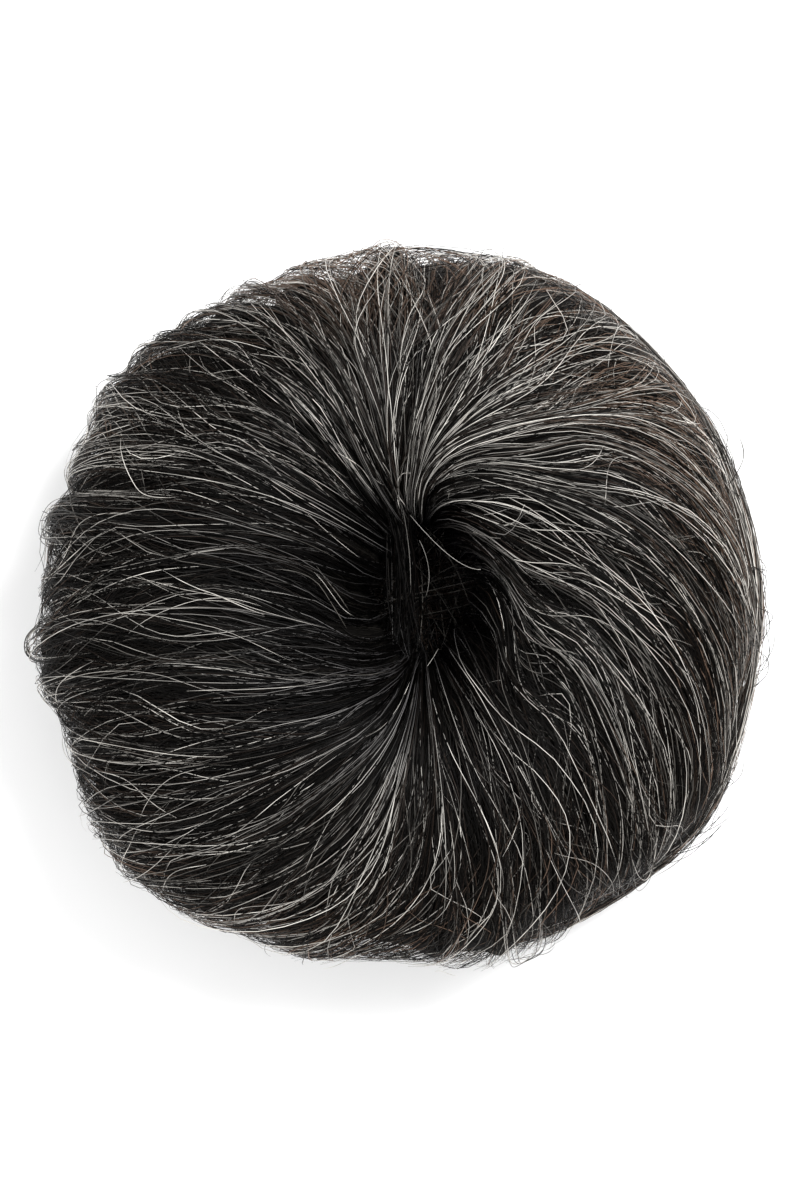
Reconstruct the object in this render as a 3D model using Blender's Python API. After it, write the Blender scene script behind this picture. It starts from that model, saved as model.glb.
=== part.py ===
"""Top knot hairpiece: two rings of false hair sewn to an elastic band, lying on their underside.

The hair is a soft ring round an off-centre hole. Every point on it has an azimuth about the hole, seen
from above and counted from +X towards +Y, and a roll round the ring's own section: 180 degrees is the
hole's wall, 90 the crown, 0 the rim and below 0 the underside. Locks are lens-shaped strips that follow
a charted course over that surface, and they are fused to the ring that they are sewn to.
"""

import math

import bmesh
import bpy
import numpy as np

# Overall size
OUTER_RADIUS = 0.0625
HEIGHT = 0.059
RIM_HEIGHT = 0.027

# The hole, which the hair comes out of, and its place beside the middle
HOLE_X = 0.0043
HOLE_Y = 0.0026
HOLE_HALF_WIDTH = 0.0060
HOLE_HALF_LENGTH = 0.0110

# Hair: locks stand up from a backing, and those along the rim are fatter
LOCK_DEPTH = 0.0036
LOCK_WIDTH = 0.0125
LOCK_LIFT = 0.0014
RIM_LOCK_WIDTH = 0.0125
RIM_LOCK_DEPTH = 0.0055
BACKING = 0.0022
GAP = 0.0003

# How deep a lock's edges and its underside lie in the backing, as shares of the backing
EDGE_SINK = 0.45
UNDERSIDE_SINK = 0.65

# Elastic band
ELASTIC_BORE = 0.0286
ELASTIC_THICKNESS = 0.0044
ELASTIC_REST = 0.0008

# How round the section is: 1 is an ellipse, less is squarer
ROUNDNESS = 0.86
UNDERSIDE_ROUNDNESS = 0.72

# Rolls, in degrees: where the top layer starts in the hole, how far its locks pass its two edges, where
# a lock counts as tucked under, and where the hair meets the ground
HOLE_ROLL = 206.0
HOLE_OVERHANG = -4.0
TIP_OVERHANG = 7.0
TUCK_ROLL = -45.0
FOOT_ROLL = -72.0

# Facets
AZIMUTHS = 36
TOP_ROWS = 11
SIDE_ROWS = 5
LOCK_STATIONS = 12
RIM_STATIONS = 11
ELASTIC_SIDES = 6

# The outline from above: azimuth about the middle, and reach as a share of the outer radius
OUTLINE = (
    # azimuth, reach
    (0, 1.010),
    (45, 1.000),
    (90, 0.985),
    (140, 1.030),
    (180, 1.005),
    (220, 1.040),
    (265, 0.985),
    (315, 1.050),
)

# The roll at which the top layer of hair ends, round the rim
EDGE = (
    # azimuth, roll
    (0, 22),
    (45, 16),
    (90, 2),
    (135, -24),
    (180, -28),
    (225, -20),
    (270, -2),
    (315, 18),
)

# The top layer's locks, clockwise from the top: azimuth at the hole's wall, at each fifth of the way to
# the rim, at the rim, and where it is tucked under; then its width and its lift as shares
LOCKS = (
    # name, hole, 1/5, 2/5, 3/5, 4/5, rim, tuck, width, lift
    ("t0", 115, 108, 102, 99, 97, 96, 95, 1.00, 0.0),
    ("t1", 105, 95, 89, 85, 80, 76, 72, 1.15, 0.4),
    ("t2", 103, 92, 81, 74, 68, 61, 55, 0.95, 0.0),
    ("t3", 101, 91, 76, 66, 59, 53, 47, 0.75, 0.5),
    ("t4", 99, 90, 68, 53, 45, 37, 29, 1.00, 0.1),
    ("t5", 97, 87, 65, 49, 36, 20, 10, 0.95, 0.5),
    ("r1", 95, 80, 53, 41, 18, -8, -20, 1.10, 0.0),
    ("r2", 90, 66, 32, 10, -10, -26, -36, 1.15, 0.4),
    ("r3", 75, 22, 3, -13, -27, -42, -50, 1.10, 0.1),
    ("r4", 52, -8, -24, -36, -46, -54, -60, 1.10, 0.5),
    ("r5", 12, -36, -42, -49, -54, -59, -63, 0.80, 0.0),
    ("b1", -61, -59, -60, -62, -65, -67, -69, 0.90, 0.6),
    ("b2", -76, -75, -74, -74, -76, -78, -80, 0.90, 0.1),
    ("b3", -88, -86, -85, -85, -86, -89, -93, 1.05, 0.5),
    ("b4", -94, -94, -95, -97, -102, -110, -118, 1.25, 0.0),
    ("b5", -97, -98, -103, -109, -117, -126, -134, 0.95, 0.5),
    ("b6", -101, -103, -111, -119, -128, -137, -145, 0.90, 0.1),
    ("l1", -107, -109, -122, -131, -139, -147, -153, 0.90, 0.5),
    ("l2", -111, -116, -131, -143, -151, -157, -161, 1.05, 0.0),
    ("l3", -118, -136, -152, -161, -164, -165, -166, 1.05, 0.5),
    ("l4", -137, -157, -169, -173, -174, -172, -170, 1.20, 1.5),
    ("l5", -166, -183, -187, -185, -182, -180, -179, 1.00, 0.0),
    ("l6", -209, -203, -199, -196, -193, -191, -188, 1.25, 1.5),
    ("l7", -222, -220, -216, -211, -203, -197, -194, 0.90, 0.5),
    ("l8", -235, -233, -230, -224, -216, -208, -204, 0.95, 0.1),
    ("u1", -239, -239, -238, -234, -226, -217, -213, 0.85, 0.6),
    ("u2", -245, -245, -245, -242, -235, -226, -221, 0.85, 0.1),
    ("u3", -250, -251, -250, -248, -243, -234, -229, 0.80, 0.6),
    ("u4", -253, -254, -255, -254, -251, -247, -244, 0.95, 0.1),
)

# The place of the rim in a lock's course, counted in steps from the hole's wall
RIM_PLACE = 5

# A lock's width and depth as shares of the full size, at even steps from the hole to its tip
LOCK_TAPER = (
    # width, depth
    (0.30, 0.45),
    (0.42, 0.70),
    (0.62, 0.90),
    (0.85, 1.00),
    (1.00, 1.00),
    (1.00, 1.00),
    (0.90, 0.90),
    (0.40, 0.35),
)

# The under layer's locks, which run along the rim: where each starts and ends, and its width as a share
RIM_LOCKS = (
    # name, azimuth and roll at its start, azimuth and roll at its end, width
    ("top_high", 122, -44, 36, -6, 1.00),
    ("right_high", 60, -12, -48, -4, 1.05),
    ("bottom_high", -22, -3, -108, -30, 1.00),
    ("top_low", 84, -34, -8, -26, 0.95),
    ("right_low", 12, -26, -92, -42, 1.00),
    ("bottom_low", -66, -34, -168, -54, 1.00),
    ("left_low", -140, -50, -232, -50, 0.95),
    ("top_foot", 142, -55, 34, -54, 0.90),
    ("right_foot", 56, -50, -60, -55, 0.90),
)

# A rim lock's width and depth as shares of the full size, at even steps from end to end
RIM_TAPER = (
    # width, depth
    (0.35, 0.45),
    (0.85, 0.85),
    (1.00, 1.00),
    (1.00, 1.00),
    (0.80, 0.85),
    (0.35, 0.45),
)

# A lock's section: place across its width, and height as a share of its depth
LENS = (
    # across, height
    (-0.50, 0.00),
    (-0.27, 0.74),
    (0.00, 1.00),
    (0.27, 0.74),
    (0.50, 0.00),
)

COLOURS = {
    # piece: red, green, blue, roughness
    "elastic_band": (0.020, 0.018, 0.017, 0.85),
    "lower_weft": (0.060, 0.042, 0.032, 0.50),
    "upper_weft": (0.055, 0.050, 0.047, 0.45),
}


def start_empty():
    """Removes what the scene holds and returns a collection for the part and one for its strips."""
    for thing in list(bpy.data.objects):
        bpy.data.objects.remove(thing, do_unlink=True)
    part = bpy.data.collections.new("top_knot_hairpiece")
    strips = bpy.data.collections.new("lock_strips")
    for group in (part, strips):
        bpy.context.scene.collection.children.link(group)
    return part, strips


def read_cycle(table, azimuth):
    """Reads a table of (azimuth, value) rows smoothly all the way round."""
    rows = np.array(table, float)
    steps = np.append(rows[:, 0], rows[0, 0] + 360.0)
    values = np.append(rows[:, 1], rows[0, 1])
    turned = np.mod(np.degrees(azimuth), 360.0)
    row = np.clip(np.searchsorted(steps, turned, side="right") - 1, 0, len(rows) - 1)
    part_way = (turned - steps[row]) / (steps[row + 1] - steps[row])
    eased = (1 - np.cos(np.pi * part_way)) / 2
    return values[row] + (values[row + 1] - values[row]) * eased


def read_course(values, place):
    """Reads values at even steps by a smooth curve through them; place runs from 0 to the last step."""
    values = np.array(values, float)
    last = len(values) - 1
    place = np.clip(place, 0, last)
    step = np.minimum(place.astype(int), last - 1)
    part_way = place - step
    slope = np.gradient(values)
    rise = values[step + 1] - values[step]
    start, end = slope[step], slope[step + 1]
    bend = (3 * rise - 2 * start - end) * part_way**2 + (start + end - 2 * rise) * part_way**3
    return values[step] + start * part_way + bend


def signed_power(value, power):
    """A power that keeps the value's sign."""
    return np.sign(value) * np.abs(value) ** power


def outline_reach(azimuth):
    """How far the outline lies from the hole's centre, found in a few passes."""
    passes = 3
    along = HOLE_X * np.cos(azimuth) + HOLE_Y * np.sin(azimuth)
    reach = OUTER_RADIUS - along
    for _ in range(passes):
        x = HOLE_X + reach * np.cos(azimuth)
        y = HOLE_Y + reach * np.sin(azimuth)
        radius = OUTER_RADIUS * read_cycle(OUTLINE, np.arctan2(y, x))
        reach = np.sqrt(along**2 - HOLE_X**2 - HOLE_Y**2 + radius**2) - along
    return reach


def hole_reach(azimuth):
    """How far the hole's wall lies from the hole's centre."""
    across = np.cos(azimuth) / HOLE_HALF_WIDTH
    lengthwise = np.sin(azimuth) / HOLE_HALF_LENGTH
    return 1 / np.hypot(across, lengthwise)


def smooth_surface(azimuth, roll):
    """Points on the backing's outer surface, as arrays of (x, y, z)."""
    inner = hole_reach(azimuth) + LOCK_DEPTH
    outer = outline_reach(azimuth) - LOCK_DEPTH
    reach = (inner + outer) / 2 + (outer - inner) / 2 * signed_power(np.cos(roll), ROUNDNESS)
    rise = np.sin(roll)
    top = HEIGHT - LOCK_DEPTH - RIM_HEIGHT
    over = RIM_HEIGHT + top * signed_power(rise, ROUNDNESS)
    under = RIM_HEIGHT + RIM_HEIGHT * signed_power(rise, UNDERSIDE_ROUNDNESS)
    z = np.where(rise > 0, over, under)
    return np.stack((HOLE_X + reach * np.cos(azimuth), HOLE_Y + reach * np.sin(azimuth), z), axis=-1)


def surface_frame(azimuth, roll):
    """Points on the surface with the two ways along it and the outward normal there."""
    nudge = 0.01
    round_way = smooth_surface(azimuth + nudge, roll) - smooth_surface(azimuth - nudge, roll)
    roll_way = smooth_surface(azimuth, roll + nudge) - smooth_surface(azimuth, roll - nudge)
    normal = np.cross(roll_way, round_way)
    normal /= -np.linalg.norm(normal, axis=-1, keepdims=True)
    return smooth_surface(azimuth, roll), round_way / (2 * nudge), roll_way / (2 * nudge), normal


def raised(azimuth, roll, height):
    """Points raised from the surface along its normal, and never below the ground."""
    point, _, _, normal = surface_frame(azimuth, roll)
    point = point + normal * np.asarray(height)[..., None]
    point[..., 2] = np.maximum(point[..., 2], GAP)
    return point


def loft(name, rings, ring_closed, ends_closed, collection):
    """Makes a solid through rings of points, in triangles split the short way, and returns its object."""
    count = len(rings[0])
    mesh = bmesh.new()
    rows = [[mesh.verts.new(point) for point in ring] for ring in rings]
    sides = range(count if ring_closed else count - 1)
    pairs = list(zip(rows, rows[1:] + rows[:1])) if not ends_closed else list(zip(rows, rows[1:]))
    for here, there in pairs:
        for side in sides:
            following = (side + 1) % count
            a, b, c, d = here[side], here[following], there[following], there[side]
            if (a.co - c.co).length > (b.co - d.co).length:
                a, b, c, d = b, c, d, a
            mesh.faces.new((a, b, c))
            mesh.faces.new((a, c, d))
    if ends_closed:
        mesh.faces.new(rows[0][::-1])
        mesh.faces.new(rows[-1])
    bmesh.ops.recalc_face_normals(mesh, faces=mesh.faces)
    data = bpy.data.meshes.new(name)
    mesh.to_mesh(data)
    mesh.free()
    piece = bpy.data.objects.new(name, data)
    collection.objects.link(piece)
    return piece


def add_material(piece):
    """Gives a piece its own material."""
    red, green, blue, roughness = COLOURS[piece.name]
    material = bpy.data.materials.new(piece.name)
    material.use_nodes = True
    shader = material.node_tree.nodes["Principled BSDF"]
    shader.inputs["Base Color"].default_value = (red, green, blue, 1.0)
    shader.inputs["Roughness"].default_value = roughness
    piece.data.materials.append(material)


def ring_azimuths():
    """The azimuths of a ring's facets."""
    return np.radians(np.arange(AZIMUTHS) * 360.0 / AZIMUTHS)


def top_rolls(azimuth):
    """The rolls of the rows that the two layers of hair share, from the hole to the top layer's edge."""
    edge = np.radians(read_cycle(EDGE, azimuth))
    start = math.radians(HOLE_ROLL)
    return [start + (edge - start) * row / (TOP_ROWS - 1) for row in range(TOP_ROWS)]


def level_ring(azimuth, reach, z):
    """A ring of points at one height, at a reach from the hole's centre."""
    reach = np.broadcast_to(reach, azimuth.shape)
    height = np.full_like(azimuth, z)
    return np.stack((HOLE_X + reach * np.cos(azimuth), HOLE_Y + reach * np.sin(azimuth), height), axis=-1)


def split_way(way, round_way, roll_way):
    """A way along the surface as steps of azimuth and of roll."""
    by_round, by_roll = (way * round_way).sum(-1), (way * roll_way).sum(-1)
    round_round, roll_roll = (round_way * round_way).sum(-1), (roll_way * roll_way).sum(-1)
    both = (round_way * roll_way).sum(-1)
    spread = round_round * roll_roll - both * both
    azimuth_step = (by_round * roll_roll - by_roll * both) / spread
    roll_step = (by_roll * round_round - by_round * both) / spread
    return azimuth_step, roll_step


def make_strip(name, azimuth, roll, width, ridge, layer, collection):
    """Lofts one lock along a course, from edges sunk in the backing below layer up to its ridge."""
    point, round_way, roll_way, normal = surface_frame(azimuth, roll)
    along = np.gradient(azimuth)[:, None] * round_way + np.gradient(roll)[:, None] * roll_way
    side = np.cross(normal, along)
    side /= np.linalg.norm(side, axis=-1, keepdims=True)
    azimuth_step, roll_step = split_way(side, round_way, roll_way)
    edge = layer - EDGE_SINK * BACKING
    columns = []
    for across, height in LENS:
        there = across * width
        level = edge + height * (ridge - edge)
        columns.append(raised(azimuth + azimuth_step * there, roll + roll_step * there, level))
    columns.append(raised(azimuth, roll, np.full_like(roll, layer - UNDERSIDE_SINK * BACKING)))
    rings = np.stack(columns, axis=1)
    strip = loft(name, rings, True, True, collection)
    strip.hide_render = True
    strip.display_type = "WIRE"
    return strip


def course_place(roll):
    """The place in a lock's course for a roll: 0 at the hole's wall, and a step past the rim at the tuck."""
    over = RIM_PLACE * (1 + signed_power(np.cos(roll), ROUNDNESS)) / 2
    under = RIM_PLACE + roll / math.radians(TUCK_ROLL)
    return np.where(roll < 0, under, np.where(roll > math.pi, 0.0, over))


def make_top_lock(row, collection):
    """Makes one lock of the top layer, from inside the hole to its tip past the layer's edge."""
    name, *course, width, lift = row
    taper = np.array(LOCK_TAPER)
    tuck = np.radians(course[-1])
    tip = np.radians(read_cycle(EDGE, tuck) - TIP_OVERHANG)
    roll = np.linspace(math.radians(HOLE_ROLL + HOLE_OVERHANG), tip, LOCK_STATIONS)
    azimuth = np.radians(read_course(course, course_place(roll)))
    place = np.linspace(0, len(taper) - 1, LOCK_STATIONS)
    widths = LOCK_WIDTH * width * read_course(taper[:, 0], place)
    ridges = LOCK_DEPTH * read_course(taper[:, 1], place)
    ridges += LOCK_LIFT * lift * np.sin(np.pi * np.linspace(0, 1, LOCK_STATIONS))
    return make_strip("lock_" + name, azimuth, roll, widths, ridges, 0.0, collection)


def make_rim_lock(row, collection):
    """Makes one lock of the under layer, along the rim."""
    name, start, start_roll, end, end_roll, width = row
    taper = np.array(RIM_TAPER)
    way = np.linspace(0, 1, RIM_STATIONS)
    azimuth = np.radians(start + (end - start) * way)
    eased = way * way * (3 - 2 * way)
    roll = np.radians(start_roll + (end_roll - start_roll) * eased)
    place = way * (len(taper) - 1)
    widths = RIM_LOCK_WIDTH * width * read_course(taper[:, 0], place)
    layer = -(BACKING + GAP)
    ridges = layer + RIM_LOCK_DEPTH * read_course(taper[:, 1], place)
    return make_strip("rim_" + name, azimuth, roll, widths, ridges, layer, collection)


def fuse(piece, strips, name, part):
    """Joins strips to the ring that carries them, as one body."""
    group = bpy.data.collections.new(name)
    part.children.link(group)
    for strip in strips:
        group.objects.link(strip)
        part.objects.unlink(strip)
    union = piece.modifiers.new("locks", "BOOLEAN")
    union.operation = "UNION"
    union.operand_type = "COLLECTION"
    union.collection = group
    union.solver = "EXACT"


def make_upper_weft(part, strips):
    """The top layer: a thin ring from inside the hole over the crown to its edge, with its locks."""
    azimuth = ring_azimuths()
    rolls = top_rolls(azimuth)
    outside = [raised(azimuth, roll, np.zeros(AZIMUTHS)) for roll in rolls]
    inside = [raised(azimuth, roll, np.full(AZIMUTHS, -BACKING)) for roll in reversed(rolls)]
    weft = loft("upper_weft", outside + inside, True, False, part)
    locks = [make_top_lock(row, strips) for row in LOCKS]
    fuse(weft, locks, "top_locks", strips)
    return weft


def make_lower_weft(part, strips):
    """The under layer: a padded ring that stands on a flat foot, with a seat cut for the elastic band."""
    azimuth = ring_azimuths()
    rolls = top_rolls(azimuth)
    under = np.full(AZIMUTHS, -(BACKING + GAP))
    rings = [raised(azimuth, roll, under) for roll in rolls]
    foot = math.radians(FOOT_ROLL)
    for row in range(1, SIDE_ROWS):
        roll = rolls[-1] + (foot - rolls[-1]) * row / SIDE_ROWS
        rings.append(raised(azimuth, roll, under))
    foot_ring = raised(azimuth, np.full(AZIMUTHS, foot), under)
    foot_ring[:, 2] = 0.0
    rings.append(foot_ring)
    seat_reach = ELASTIC_BORE / 2 + ELASTIC_THICKNESS + GAP
    seat_height = ELASTIC_REST + ELASTIC_THICKNESS + GAP
    rings.append(level_ring(azimuth, seat_reach, 0.0))
    rings.append(level_ring(azimuth, seat_reach, seat_height))
    rings.append(level_ring(azimuth, ELASTIC_BORE / 2, seat_height))
    weft = loft("lower_weft", rings, True, False, part)
    locks = [make_rim_lock(row, strips) for row in RIM_LOCKS]
    fuse(weft, locks, "rim_locks", strips)
    return weft


def make_elastic_band(part):
    """The elastic ring in its seat at the foot of the hole."""
    bpy.ops.mesh.primitive_torus_add(
        location=(HOLE_X, HOLE_Y, ELASTIC_REST + ELASTIC_THICKNESS / 2),
        major_radius=(ELASTIC_BORE + ELASTIC_THICKNESS) / 2,
        minor_radius=ELASTIC_THICKNESS / 2,
        major_segments=AZIMUTHS,
        minor_segments=ELASTIC_SIDES,
    )
    band = bpy.context.object
    band.name = "elastic_band"
    for group in list(band.users_collection):
        group.objects.unlink(band)
    part.objects.link(band)
    return band


def main():
    """Builds the whole part."""
    part, strips = start_empty()
    pieces = [make_elastic_band(part), make_lower_weft(part, strips), make_upper_weft(part, strips)]
    for piece in pieces:
        add_material(piece)


main()
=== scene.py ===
# %% [markdown]
# Top knot hairpiece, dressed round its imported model.
# The real thing is a scrunchie of false hair: tracks of hair are sewn round an elastic band, pulled out of
# the middle, laid over the crown in loose locks and tucked under at the rim.
# Its look comes from thousands of single hairs, black and brown with grey and silver ones among them.
# They could be particle hair, curves or textured cards. Here they are thin three-sided tubes that numpy
# lays out and one mesh holds, because plain meshes export as they are and are closed all round.

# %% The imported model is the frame
import math

import bpy
import numpy as np
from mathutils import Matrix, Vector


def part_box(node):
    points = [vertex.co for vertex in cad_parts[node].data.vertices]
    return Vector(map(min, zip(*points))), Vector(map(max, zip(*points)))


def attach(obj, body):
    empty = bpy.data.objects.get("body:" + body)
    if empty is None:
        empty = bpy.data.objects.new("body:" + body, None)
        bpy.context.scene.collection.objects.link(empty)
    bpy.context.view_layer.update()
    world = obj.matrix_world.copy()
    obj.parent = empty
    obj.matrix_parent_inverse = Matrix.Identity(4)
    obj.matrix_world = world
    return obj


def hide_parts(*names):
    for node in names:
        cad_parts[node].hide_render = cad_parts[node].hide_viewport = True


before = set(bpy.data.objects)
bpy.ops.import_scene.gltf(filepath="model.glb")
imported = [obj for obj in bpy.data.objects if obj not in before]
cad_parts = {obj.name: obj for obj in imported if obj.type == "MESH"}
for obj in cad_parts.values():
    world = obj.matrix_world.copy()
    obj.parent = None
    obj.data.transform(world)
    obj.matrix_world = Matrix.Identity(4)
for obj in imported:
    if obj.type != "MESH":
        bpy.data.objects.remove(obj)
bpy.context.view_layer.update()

# %% [markdown]
# The hair lies on one smooth ring round an off-centre hole. A place on it has an azimuth about the hole,
# from +X towards +Y, and a roll round the ring's section: 180 degrees is the hole's wall, 90 the crown,
# 0 the rim, and below 0 the underside. The sizes are the model's own, so the hairs lie where the solids
# are. The same ring could be a modelled mesh that is searched for places, but a formula is exact and quick.

# %% Sizes of the ring, in metres
OUTER_RADIUS = 0.0625
HEIGHT = 0.059
RIM_HEIGHT = 0.027
HOLE_X, HOLE_Y = 0.0043, 0.0026
HOLE_HALF_WIDTH, HOLE_HALF_LENGTH = 0.0060, 0.0110
LOCK_DEPTH, LOCK_LIFT = 0.0036, 0.0014
RIM_LOCK_DEPTH, RIM_LOCK_WIDTH = 0.0055, 0.0125
BACKING, GAP = 0.0022, 0.0003
ROUNDNESS, UNDERSIDE_ROUNDNESS = 0.86, 0.72
HOLE_ROLL, HOLE_OVERHANG, TUCK_ROLL, TIP_OVERHANG = 206.0, -4.0, -45.0, 7.0

# The outline from above: azimuth about the middle, reach as a share of the outer radius
OUTLINE = (
    (0, 1.010), (45, 1.000), (90, 0.985), (140, 1.030),
    (180, 1.005), (220, 1.040), (265, 0.985), (315, 1.050),
)

# The roll where the top layer's solid ends: azimuth about the hole, roll
EDGE = ((0, 22), (45, 16), (90, 2), (135, -24), (180, -28), (225, -20), (270, -2), (315, 18))
print("ring", OUTER_RADIUS * 2000, "mm across and", HEIGHT * 1000, "mm high")

# %% The ring's surface
def read_cycle(table, azimuth):
    """Reads a table of (azimuth in degrees, value) rows smoothly all the way round."""
    rows = np.array(table, float)
    steps = np.append(rows[:, 0], rows[0, 0] + 360.0)
    values = np.append(rows[:, 1], rows[0, 1])
    turned = np.mod(np.degrees(azimuth), 360.0)
    row = np.clip(np.searchsorted(steps, turned, side="right") - 1, 0, len(rows) - 1)
    part_way = (turned - steps[row]) / (steps[row + 1] - steps[row])
    return values[row] + (values[row + 1] - values[row]) * (1 - np.cos(np.pi * part_way)) / 2


def signed_power(value, power):
    """A power that keeps the value's sign."""
    return np.sign(value) * np.abs(value) ** power


def outline_reach(azimuth):
    """How far the outline lies from the hole's centre, found in a few passes."""
    along = HOLE_X * np.cos(azimuth) + HOLE_Y * np.sin(azimuth)
    reach = OUTER_RADIUS - along
    for _ in range(3):
        x = HOLE_X + reach * np.cos(azimuth)
        y = HOLE_Y + reach * np.sin(azimuth)
        radius = OUTER_RADIUS * read_cycle(OUTLINE, np.arctan2(y, x))
        reach = np.sqrt(along**2 - HOLE_X**2 - HOLE_Y**2 + radius**2) - along
    return reach


def section(azimuth):
    """Middle and half width of the ring's section, measured from the hole's centre."""
    hole = 1 / np.hypot(np.cos(azimuth) / HOLE_HALF_WIDTH, np.sin(azimuth) / HOLE_HALF_LENGTH)
    inner, outer = hole + LOCK_DEPTH, outline_reach(azimuth) - LOCK_DEPTH
    return (inner + outer) / 2, (outer - inner) / 2


def ring_surface(azimuth, roll):
    """Points on the smooth ring, as arrays of (x, y, z)."""
    middle, half = section(azimuth)
    reach = middle + half * signed_power(np.cos(roll), ROUNDNESS)
    rise = np.sin(roll)
    over = (HEIGHT - LOCK_DEPTH - RIM_HEIGHT) * signed_power(rise, ROUNDNESS)
    under = RIM_HEIGHT * signed_power(rise, UNDERSIDE_ROUNDNESS)
    z = RIM_HEIGHT + np.where(rise > 0, over, under)
    return np.stack((HOLE_X + reach * np.cos(azimuth), HOLE_Y + reach * np.sin(azimuth), z), axis=-1)


def raised(azimuth, roll, height):
    """Points above the ring and the ring's normals there, never below the ground."""
    nudge = 0.01
    round_way = ring_surface(azimuth + nudge, roll) - ring_surface(azimuth - nudge, roll)
    roll_way = ring_surface(azimuth, roll + nudge) - ring_surface(azimuth, roll - nudge)
    normal = np.cross(round_way, roll_way)
    normal /= np.linalg.norm(normal, axis=-1, keepdims=True)
    point = ring_surface(azimuth, roll) + normal * height[..., None]
    point[..., 2] = np.maximum(point[..., 2], GAP)
    return point, normal


crown = ring_surface(np.array([0.0]), np.array([math.pi / 2]))[0]
print("crown of the bare ring at", crown.round(4))

# %% [markdown]
# Each lock of the top layer has a course: the azimuth that it has at the hole's wall, at each fifth of the
# way to the rim, at the rim and where it is tucked under. The courses were read off the photograph.
# Almost all of them swirl clockwise. Two broad locks on the left bulge past their neighbours.

# %% The locks of the top layer, clockwise from the top
LOCKS = (
    # name, hole, 1/5, 2/5, 3/5, 4/5, rim, tuck, lift
    ("t0", 115, 108, 102, 99, 97, 96, 95, 0.0),
    ("t1", 105, 95, 89, 85, 80, 76, 72, 0.4),
    ("t2", 103, 92, 81, 74, 68, 61, 55, 0.0),
    ("t3", 101, 91, 76, 66, 59, 53, 47, 0.5),
    ("t4", 99, 90, 68, 53, 45, 37, 29, 0.1),
    ("t5", 97, 87, 65, 49, 36, 20, 10, 0.5),
    ("r1", 95, 80, 53, 41, 18, -8, -20, 0.0),
    ("r2", 90, 66, 32, 10, -10, -26, -36, 0.4),
    ("r3", 75, 22, 3, -13, -27, -42, -50, 0.1),
    ("r4", 52, -8, -24, -36, -46, -54, -60, 0.5),
    ("r5", 12, -36, -42, -49, -54, -59, -63, 0.0),
    ("b1", -61, -59, -60, -62, -65, -67, -69, 0.6),
    ("b2", -76, -75, -74, -74, -76, -78, -80, 0.1),
    ("b3", -88, -86, -85, -85, -86, -89, -93, 0.5),
    ("b4", -94, -94, -95, -97, -102, -110, -118, 0.0),
    ("b5", -97, -98, -103, -109, -117, -126, -134, 0.5),
    ("b6", -101, -103, -111, -119, -128, -137, -145, 0.1),
    ("l1", -107, -109, -122, -131, -139, -147, -153, 0.5),
    ("l2", -105, -115, -131, -143, -151, -157, -161, 0.0),
    ("l3", -108, -133, -152, -161, -164, -165, -166, 0.5),
    ("l4", -122, -155, -169, -173, -174, -172, -170, 1.5),
    ("l5", -152, -180, -187, -185, -182, -180, -179, 0.0),
    ("l6", -200, -202, -199, -196, -193, -191, -188, 1.5),
    ("l7", -222, -220, -216, -211, -205, -199, -195, 0.5),
    ("l8", -235, -233, -230, -225, -219, -211, -206, 0.1),
    ("u1", -239, -239, -238, -235, -229, -221, -215, 0.6),
    ("u2", -245, -245, -245, -243, -238, -230, -223, 0.1),
    ("u3", -250, -251, -250, -249, -245, -237, -231, 0.6),
    ("u4", -253, -254, -255, -254, -251, -247, -244, 0.1),
)
RIM_PLACE = 5

# A lock's depth as shares, from the hole to its tip
LOCK_DEPTHS = (0.45, 0.70, 0.90, 1.00, 1.00, 1.00, 0.90, 0.35)

# The under layer's locks along the rim: azimuth and roll at both ends, and width
RIM_LOCKS = (
    ("top_high", 122, -44, 36, -6, 1.00),
    ("right_high", 60, -12, -48, -4, 1.05),
    ("bottom_high", -22, -3, -108, -30, 1.00),
    ("top_low", 84, -34, -8, -26, 0.95),
    ("right_low", 12, -26, -92, -42, 1.00),
    ("bottom_low", -66, -34, -168, -54, 1.00),
    ("left_low", -140, -50, -232, -50, 0.95),
    ("top_foot", 142, -55, 34, -54, 0.90),
    ("right_foot", 56, -50, -60, -55, 0.90),
)
RIM_SHARES = (0.40, 0.85, 1.00, 1.00, 0.82, 0.40)
print(len(LOCKS), "locks on top and", len(RIM_LOCKS), "along the rim")

# %% [markdown]
# Combed like that, the locks would look like sausages. On a real hairpiece the hair between two locks runs
# between their courses. So the table is read as one continuous flow: a place of 3.5 among the locks lies
# half way between locks 3 and 4 all along its course. Wisps are then dropped anywhere in that flow.

# %% The flow of the hair
COURSES = np.radians(np.array([row[1:8] for row in LOCKS], float))
LIFTS = np.array([row[8] for row in LOCKS])
TURN = 2 * math.pi
FLOW = np.vstack((COURSES[-1] + TURN, COURSES, COURSES[0] - TURN, COURSES[1] - TURN))

# Above 1, the hairs come together at the two ends of the slit before they go down it
PINCH = 1.7


def read_course(table, row, place):
    """Reads rows of values at even steps by a smooth curve; place runs from 0 to the last step."""
    table = np.atleast_2d(np.array(table, float))
    last = table.shape[1] - 1
    place = np.clip(place, 0, last)
    step = np.minimum(place.astype(int), last - 1)
    part_way = place - step
    slope = np.gradient(table, axis=1)
    rise = table[row, step + 1] - table[row, step]
    start, end = slope[row, step], slope[row, step + 1]
    bend = (3 * rise - 2 * start - end) * part_way**2 + (start + end - 2 * rise) * part_way**3
    return table[row, step] + start * part_way + bend


def course_place(roll):
    """The place in a lock's course for a roll."""
    over = RIM_PLACE * (1 + signed_power(np.cos(roll), ROUNDNESS)) / 2
    under = RIM_PLACE + roll / math.radians(TUCK_ROLL)
    return np.where(roll < 0, under, np.where(roll > math.pi, 0.0, over))


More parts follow.
